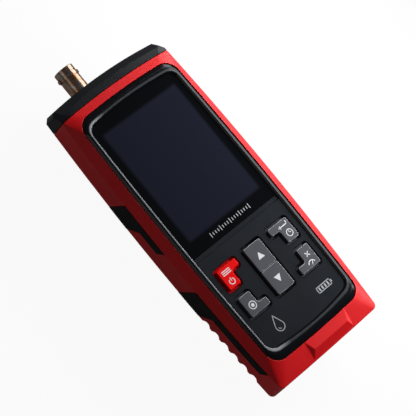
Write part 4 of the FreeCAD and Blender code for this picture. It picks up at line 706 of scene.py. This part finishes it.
@dataclass
class FaceMarks:
    """Plain marks on the lens and the keypad plate: a tick scale, a drop and a battery.

    The drop's tip and gleam are shares of its radius, the gleam's stroke is one of the usual stroke,
    and the height inside the battery is one of its own.
    """

    scale_count: int = 17
    scale_pitch: float = 1.5 * MM
    tick_width: float = 0.4 * MM
    tick_long: float = 2.4 * MM
    tick_short: float = 1.4 * MM
    ticks_per_long: float = 4.0
    scale_above_edge: float = 3.5 * MM
    icon_stroke: float = 0.36 * MM
    drop_x: float = -14.0 * MM
    drop_above_edge: float = 7.2 * MM
    drop_radius: float = 2.3 * MM
    drop_tip: float = 2.4
    drop_arc: Pair = (155.0, 230.0)
    drop_shoulder_degrees: float = 65.0
    gleam_radius: float = 0.5
    gleam_stroke: float = 0.8
    gleam_arc: Pair = (190.0, 80.0)
    battery_x: float = 15.6 * MM
    battery_above_edge: float = 7.9 * MM
    battery_half: Pair = (4.1 * MM, 1.3 * MM)
    battery_inner_height: float = 0.35
    battery_pole: float = 0.6 * MM
    battery_bars: int = 4
    battery_first_bar: float = 1.4 * MM
    battery_bar_pitch: float = 1.75 * MM
    battery_bar_width: float = 0.8 * MM

    def build(self) -> None:
        """Print the scale, the drop and the battery outline."""
        self.print_scale()
        self.print_drop()
        self.print_battery()

    def tick_sizes(self) -> dict[str, int | float]:
        """Return the inputs of the tick tree by name."""
        return {"Count": self.scale_count, "Pitch": self.scale_pitch, "Width": self.tick_width,
                "Long": self.tick_long, "Short": self.tick_short, "Height": INK_HEIGHT}

    def tick_tree(self, finish: Finish) -> bpy.types.GeometryNodeTree:
        """Build the node tree that repeats one tick along a line, every fourth one long.

        Args:
            finish: The ink of the ticks.

        Returns:
            The tree, with one named input for each size.
        """
        tree = bpy.data.node_groups.new("tick_scale", "GeometryNodeTree")
        for name, value in self.tick_sizes().items():
            kind = "NodeSocketInt" if isinstance(value, int) else "NodeSocketFloat"
            tree.interface.new_socket(name, in_out="INPUT", socket_type=kind)
        tree.interface.new_socket("Geometry", in_out="OUTPUT", socket_type="NodeSocketGeometry")
        given = add_node(tree, "NodeGroupInput").outputs
        offset = add_node(tree, "ShaderNodeCombineXYZ", {"X": given["Pitch"]})
        line = add_node(tree, "GeometryNodeMeshLine",
                        {"Count": given["Count"], "Offset": offset.outputs[0]})
        size = add_node(tree, "ShaderNodeCombineXYZ",
                        {"X": given["Width"], "Y": given["Long"], "Z": given["Height"]})
        tick = add_node(tree, "GeometryNodeMeshCube", {"Size": size.outputs[0]})
        index = add_node(tree, "GeometryNodeInputIndex")
        fourth = add_node(tree, "ShaderNodeMath", {0: index.outputs[0], 1: self.ticks_per_long},
                          operation="MODULO")
        is_long = add_node(tree, "ShaderNodeMath", {0: fourth.outputs[0], 1: 0.5}, operation="LESS_THAN")
        share = add_node(tree, "ShaderNodeMath", {0: given["Short"], 1: given["Long"]}, operation="DIVIDE")
        length = add_node(tree, "ShaderNodeMapRange",
                          {"Value": is_long.outputs[0], "To Min": share.outputs[0], "To Max": 1.0})
        scale = add_node(tree, "ShaderNodeCombineXYZ", {"X": 1.0, "Y": length.outputs["Result"], "Z": 1.0})
        copies = add_node(tree, "GeometryNodeInstanceOnPoints",
                          {"Points": line.outputs["Mesh"], "Instance": tick.outputs["Mesh"],
                           "Scale": scale.outputs[0]})
        real = add_node(tree, "GeometryNodeRealizeInstances", {"Geometry": copies.outputs["Instances"]})
        dressed = add_node(tree, "GeometryNodeSetMaterial",
                           {"Geometry": real.outputs["Geometry"], "Material": finish.material()})
        add_node(tree, "NodeGroupOutput", {"Geometry": dressed.outputs["Geometry"]})
        return tree

    def print_scale(self) -> None:
        """Print a plain tick scale under the display."""
        tree = self.tick_tree(GREY_INK)
        holder = bpy.data.objects.new("scale_source", bpy.data.meshes.new("scale_source"))
        bpy.context.scene.collection.objects.link(holder)
        modifier = holder.modifiers.new("ticks", "NODES")
        modifier.node_group = tree
        for name, value in self.tick_sizes().items():
            modifier[tree.interface.items_tree[name].identifier] = value
        low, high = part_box("display_lens")
        evaluated = holder.evaluated_get(bpy.context.evaluated_depsgraph_get())
        mesh = bpy.data.meshes.new_from_object(evaluated)
        half = self.scale_pitch * (self.scale_count - 1) / 2
        middle_z = high.z + INK_HEIGHT / 2
        mesh.transform(Matrix.Translation((-half, low.y + self.scale_above_edge, middle_z)))
        bpy.data.objects.remove(holder)
        piece = bpy.data.objects.new("marks_scale", mesh)
        bpy.context.scene.collection.objects.link(piece)
        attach(piece, "housing")
        LOG.info("printed marks_scale with %d ticks", self.scale_count)

    def print_drop(self) -> None:
        """Print a drop outline at the lower left of the keypad plate."""
        low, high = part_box("keypad_plate")
        centre, radius = (self.drop_x, low.y + self.drop_above_edge), self.drop_radius
        tip = shifted(centre, 0.0, self.drop_tip * radius)
        marks = Glyphs.arc(centre, radius, self.icon_stroke, *self.drop_arc)
        for side in (-1, 1):
            angle = math.radians(90 - side * self.drop_shoulder_degrees)
            shoulder = shifted(centre, radius * math.cos(angle), radius * math.sin(angle))
            marks += Glyphs.bar(shoulder, tip, self.icon_stroke)
        marks += Glyphs.arc(centre, radius * self.gleam_radius, self.icon_stroke * self.gleam_stroke,
                            *self.gleam_arc)
        printed_piece("marks_drop", marks, high.z, GREY_INK, "housing")

    def print_battery(self) -> None:
        """Print a battery outline at the lower right of the keypad plate."""
        low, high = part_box("keypad_plate")
        centre = (self.battery_x, low.y + self.battery_above_edge)
        w, h = self.battery_half
        corners = [shifted(centre, x, y) for x, y in ((-w, -h), (w, -h), (w, h), (-w, h), (-w, -h))]
        marks = Glyphs.path(corners, self.icon_stroke)
        columns = [(w + self.battery_pole, self.icon_stroke)]
        for k in range(self.battery_bars):
            columns.append((self.battery_first_bar + self.battery_bar_pitch * k - w, self.battery_bar_width))
        half = self.battery_inner_height * h
        for x, width in columns:
            marks += Glyphs.bar(shifted(centre, x, -half), shifted(centre, x, half), width)
        printed_piece("marks_battery", marks, high.z, GREY_INK, "housing")


@dataclass
class Housing:
    """The carried-over pieces of the meter, each with its own finish."""

    finishes: dict[str, Finish] = field(default_factory=lambda: dict(NODE_FINISHES))

    def dress(self) -> None:
        """Give every node its finish."""
        for name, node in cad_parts.items():
            self.finishes[name].on(node)
            LOG.info("dressed %s as %s", name, self.finishes[name].name)


@dataclass(frozen=True)
class Lamp:
    """One soft area lamp, aimed at a point of the meter."""

    name: str
    place: Place
    aim: Place
    width: float
    height: float
    watts: float
    mirrored: bool = True

    def build(self) -> None:
        """Put the lamp in the scene."""
        data = bpy.data.lights.new(self.name, "AREA")
        data.shape = "RECTANGLE"
        data.size, data.size_y, data.energy = self.width, self.height, self.watts
        lamp = bpy.data.objects.new(self.name, data)
        lamp.location = self.place
        lamp.rotation_mode = "QUATERNION"
        lamp.rotation_quaternion = (Vector(self.aim) - Vector(self.place)).to_track_quat("-Z", "Y")
        lamp.visible_camera = False
        lamp.visible_glossy = self.mirrored
        bpy.context.scene.collection.objects.link(lamp)


@dataclass
class Studio:
    """Pale floor, dim surroundings and the soft lamps.

    own_glow is the white in the floor's look, mirrored_glow the level of it that glossy rays see. The
    strip burns out the right flank, the side card lights the edges that face it, the low card draws
    the stripe on the socket's barrel, and the fill lamp lifts the face.
    """

    floor_half: float = 3.0
    floor_drop: float = 0.05 * MM
    floor_colour: str = "#DEDEE0"
    own_glow: float = 0.94
    mirrored_glow: float = 0.11
    world_colour: str = "#EDF0F6"
    world_strength: float = 0.06
    lamps: tuple[Lamp, ...] = (
        Lamp("strip_lamp", (0.135, 0.0, 0.10), (0.0, 0.0, 0.02), 0.28, 0.08, 0.50, mirrored=False),
        Lamp("side_card", (0.40, 0.05, 0.21), (0.0, 0.0, 0.03), 0.64, 0.36, 1.6),
        Lamp("low_card", (-0.55, 0.08, 0.37), (0.0, 0.0, 0.02), 0.34, 0.28, 0.08),
        Lamp("fill_lamp", (0.10, 0.20, 0.85), (0.0, 0.0, 0.0), 0.40, 0.40, 0.34, mirrored=False),
    )

    def build(self) -> None:
        """Make floor, world and lamps."""
        self.build_floor()
        self.build_world()
        for lamp in self.lamps:
            lamp.build()

    def own_white(self, tree: bpy.types.NodeTree) -> tuple[bpy.types.NodeSocket, bpy.types.NodeSocket]:
        """Find the white that the floor shows to the rays that see it.

        Camera and transmission rays see it at full strength, glossy rays a dim even level of it.

        Args:
            tree: The floor material's node tree.

        Returns:
            The sockets that give its share in the floor's look and its strength.
        """
        path = add_node(tree, "ShaderNodeLightPath").outputs
        straight = add_node(tree, "ShaderNodeMath",
                            {0: path["Is Camera Ray"], 1: path["Is Transmission Ray"]}, operation="MAXIMUM")
        seen = add_node(tree, "ShaderNodeMath", {0: straight.outputs[0], 1: path["Is Glossy Ray"]},
                        operation="MAXIMUM")
        share = add_node(tree, "ShaderNodeMath", {0: seen.outputs[0], 1: self.own_glow},
                         operation="MULTIPLY")
        strength = add_node(tree, "ShaderNodeMapRange",
                            {"Value": path["Is Glossy Ray"], "To Min": 1.0, "To Max": self.mirrored_glow})
        return share.outputs[0], strength.outputs["Result"]

    def build_floor(self) -> None:
        """Make the floor that the meter lies on; it shows near white and keeps the shadow."""
        half = self.floor_half
        mesh = bpy.data.meshes.new("floor")
        corners = [(-half, -half), (half, -half), (half, half), (-half, half)]
        mesh.from_pydata([(x, y, -self.floor_drop) for x, y in corners], [], [(0, 1, 2, 3)])
        floor = bpy.data.objects.new("floor", mesh)
        bpy.context.scene.collection.objects.link(floor)
        paper = bpy.data.materials.new("matt_paper_sweep")
        paper.use_nodes = True
        tree = paper.node_tree
        tree.nodes.clear()
        matt = add_node(tree, "ShaderNodeBsdfDiffuse", {"Color": linear(self.floor_colour)})
        share, strength = self.own_white(tree)
        glow = add_node(tree, "ShaderNodeEmission", {"Color": WHITE, "Strength": strength})
        both = add_node(tree, "ShaderNodeMixShader", {0: share, 1: matt.outputs[0], 2: glow.outputs[0]})
        add_node(tree, "ShaderNodeOutputMaterial", {"Surface": both.outputs[0]})
        mesh.materials.append(paper)

    def build_world(self) -> None:
        """Make dim even surroundings that show white behind the floor's far edge."""
        world = bpy.data.worlds.new("studio")
        world.use_nodes = True
        tree = world.node_tree
        tree.nodes.clear()
        path = add_node(tree, "ShaderNodeLightPath")
        dim = add_node(tree, "ShaderNodeBackground",
                       {"Color": linear(self.world_colour), "Strength": self.world_strength})
        white = add_node(tree, "ShaderNodeBackground", {"Color": WHITE, "Strength": 1.0})
        both = add_node(tree, "ShaderNodeMixShader",
                        {0: path.outputs["Is Camera Ray"], 1: dim.outputs[0], 2: white.outputs[0]})
        add_node(tree, "ShaderNodeOutputWorld", {"Surface": both.outputs[0]})
        bpy.context.scene.world = world


@dataclass
class PhotoCamera:
    """Camera at the photograph's viewing angle, found from the display's and keys' corners.

    Its angles are in degrees.
    """

    target: Place = (-2.85 * MM, -3.31 * MM, 30.0 * MM)
    distance: float = 0.7804
    azimuth: float = -85.41
    elevation: float = 59.9
    roll: float = 46.6
    focal_pixels: float = 1800.0
    sensor_mm: float = 36.0
    clip: Pair = (0.01, 20.0)

    def build(self) -> None:
        """Put the camera in the scene and make it the scene's own."""
        a, e, r = (math.radians(v) for v in (self.azimuth, self.elevation, self.roll))
        back = Vector((math.sin(a) * math.cos(e), -math.cos(a) * math.cos(e), math.sin(e)))
        level_right = Vector((math.cos(a), math.sin(a), 0.0))
        level_up = back.cross(level_right)
        right = level_right * math.cos(r) + level_up * math.sin(r)
        up = back.cross(right)
        data = bpy.data.cameras.new("photo_camera")
        data.sensor_width = self.sensor_mm
        data.lens = self.focal_pixels / PHOTO_SIDE * self.sensor_mm
        data.clip_start, data.clip_end = self.clip
        camera = bpy.data.objects.new("photo_camera", data)
        camera.matrix_world = Matrix((right, up, back)).transposed().to_4x4()
        camera.location = Vector(self.target) + back * self.distance
        bpy.context.scene.collection.objects.link(camera)
        bpy.context.scene.camera = camera


def main() -> None:
    """Dress the meter, print its marks, and set up the studio and the camera."""
    logging.basicConfig(level=logging.INFO, format="%(name)s: %(message)s")
    bpy.context.scene.view_settings.view_transform = "Standard"
    PhotoCamera().build()
    Studio().build()
    Housing().dress()
    KeyMarks().build()
    FaceMarks().build()


if __name__ == "__main__":
    main()
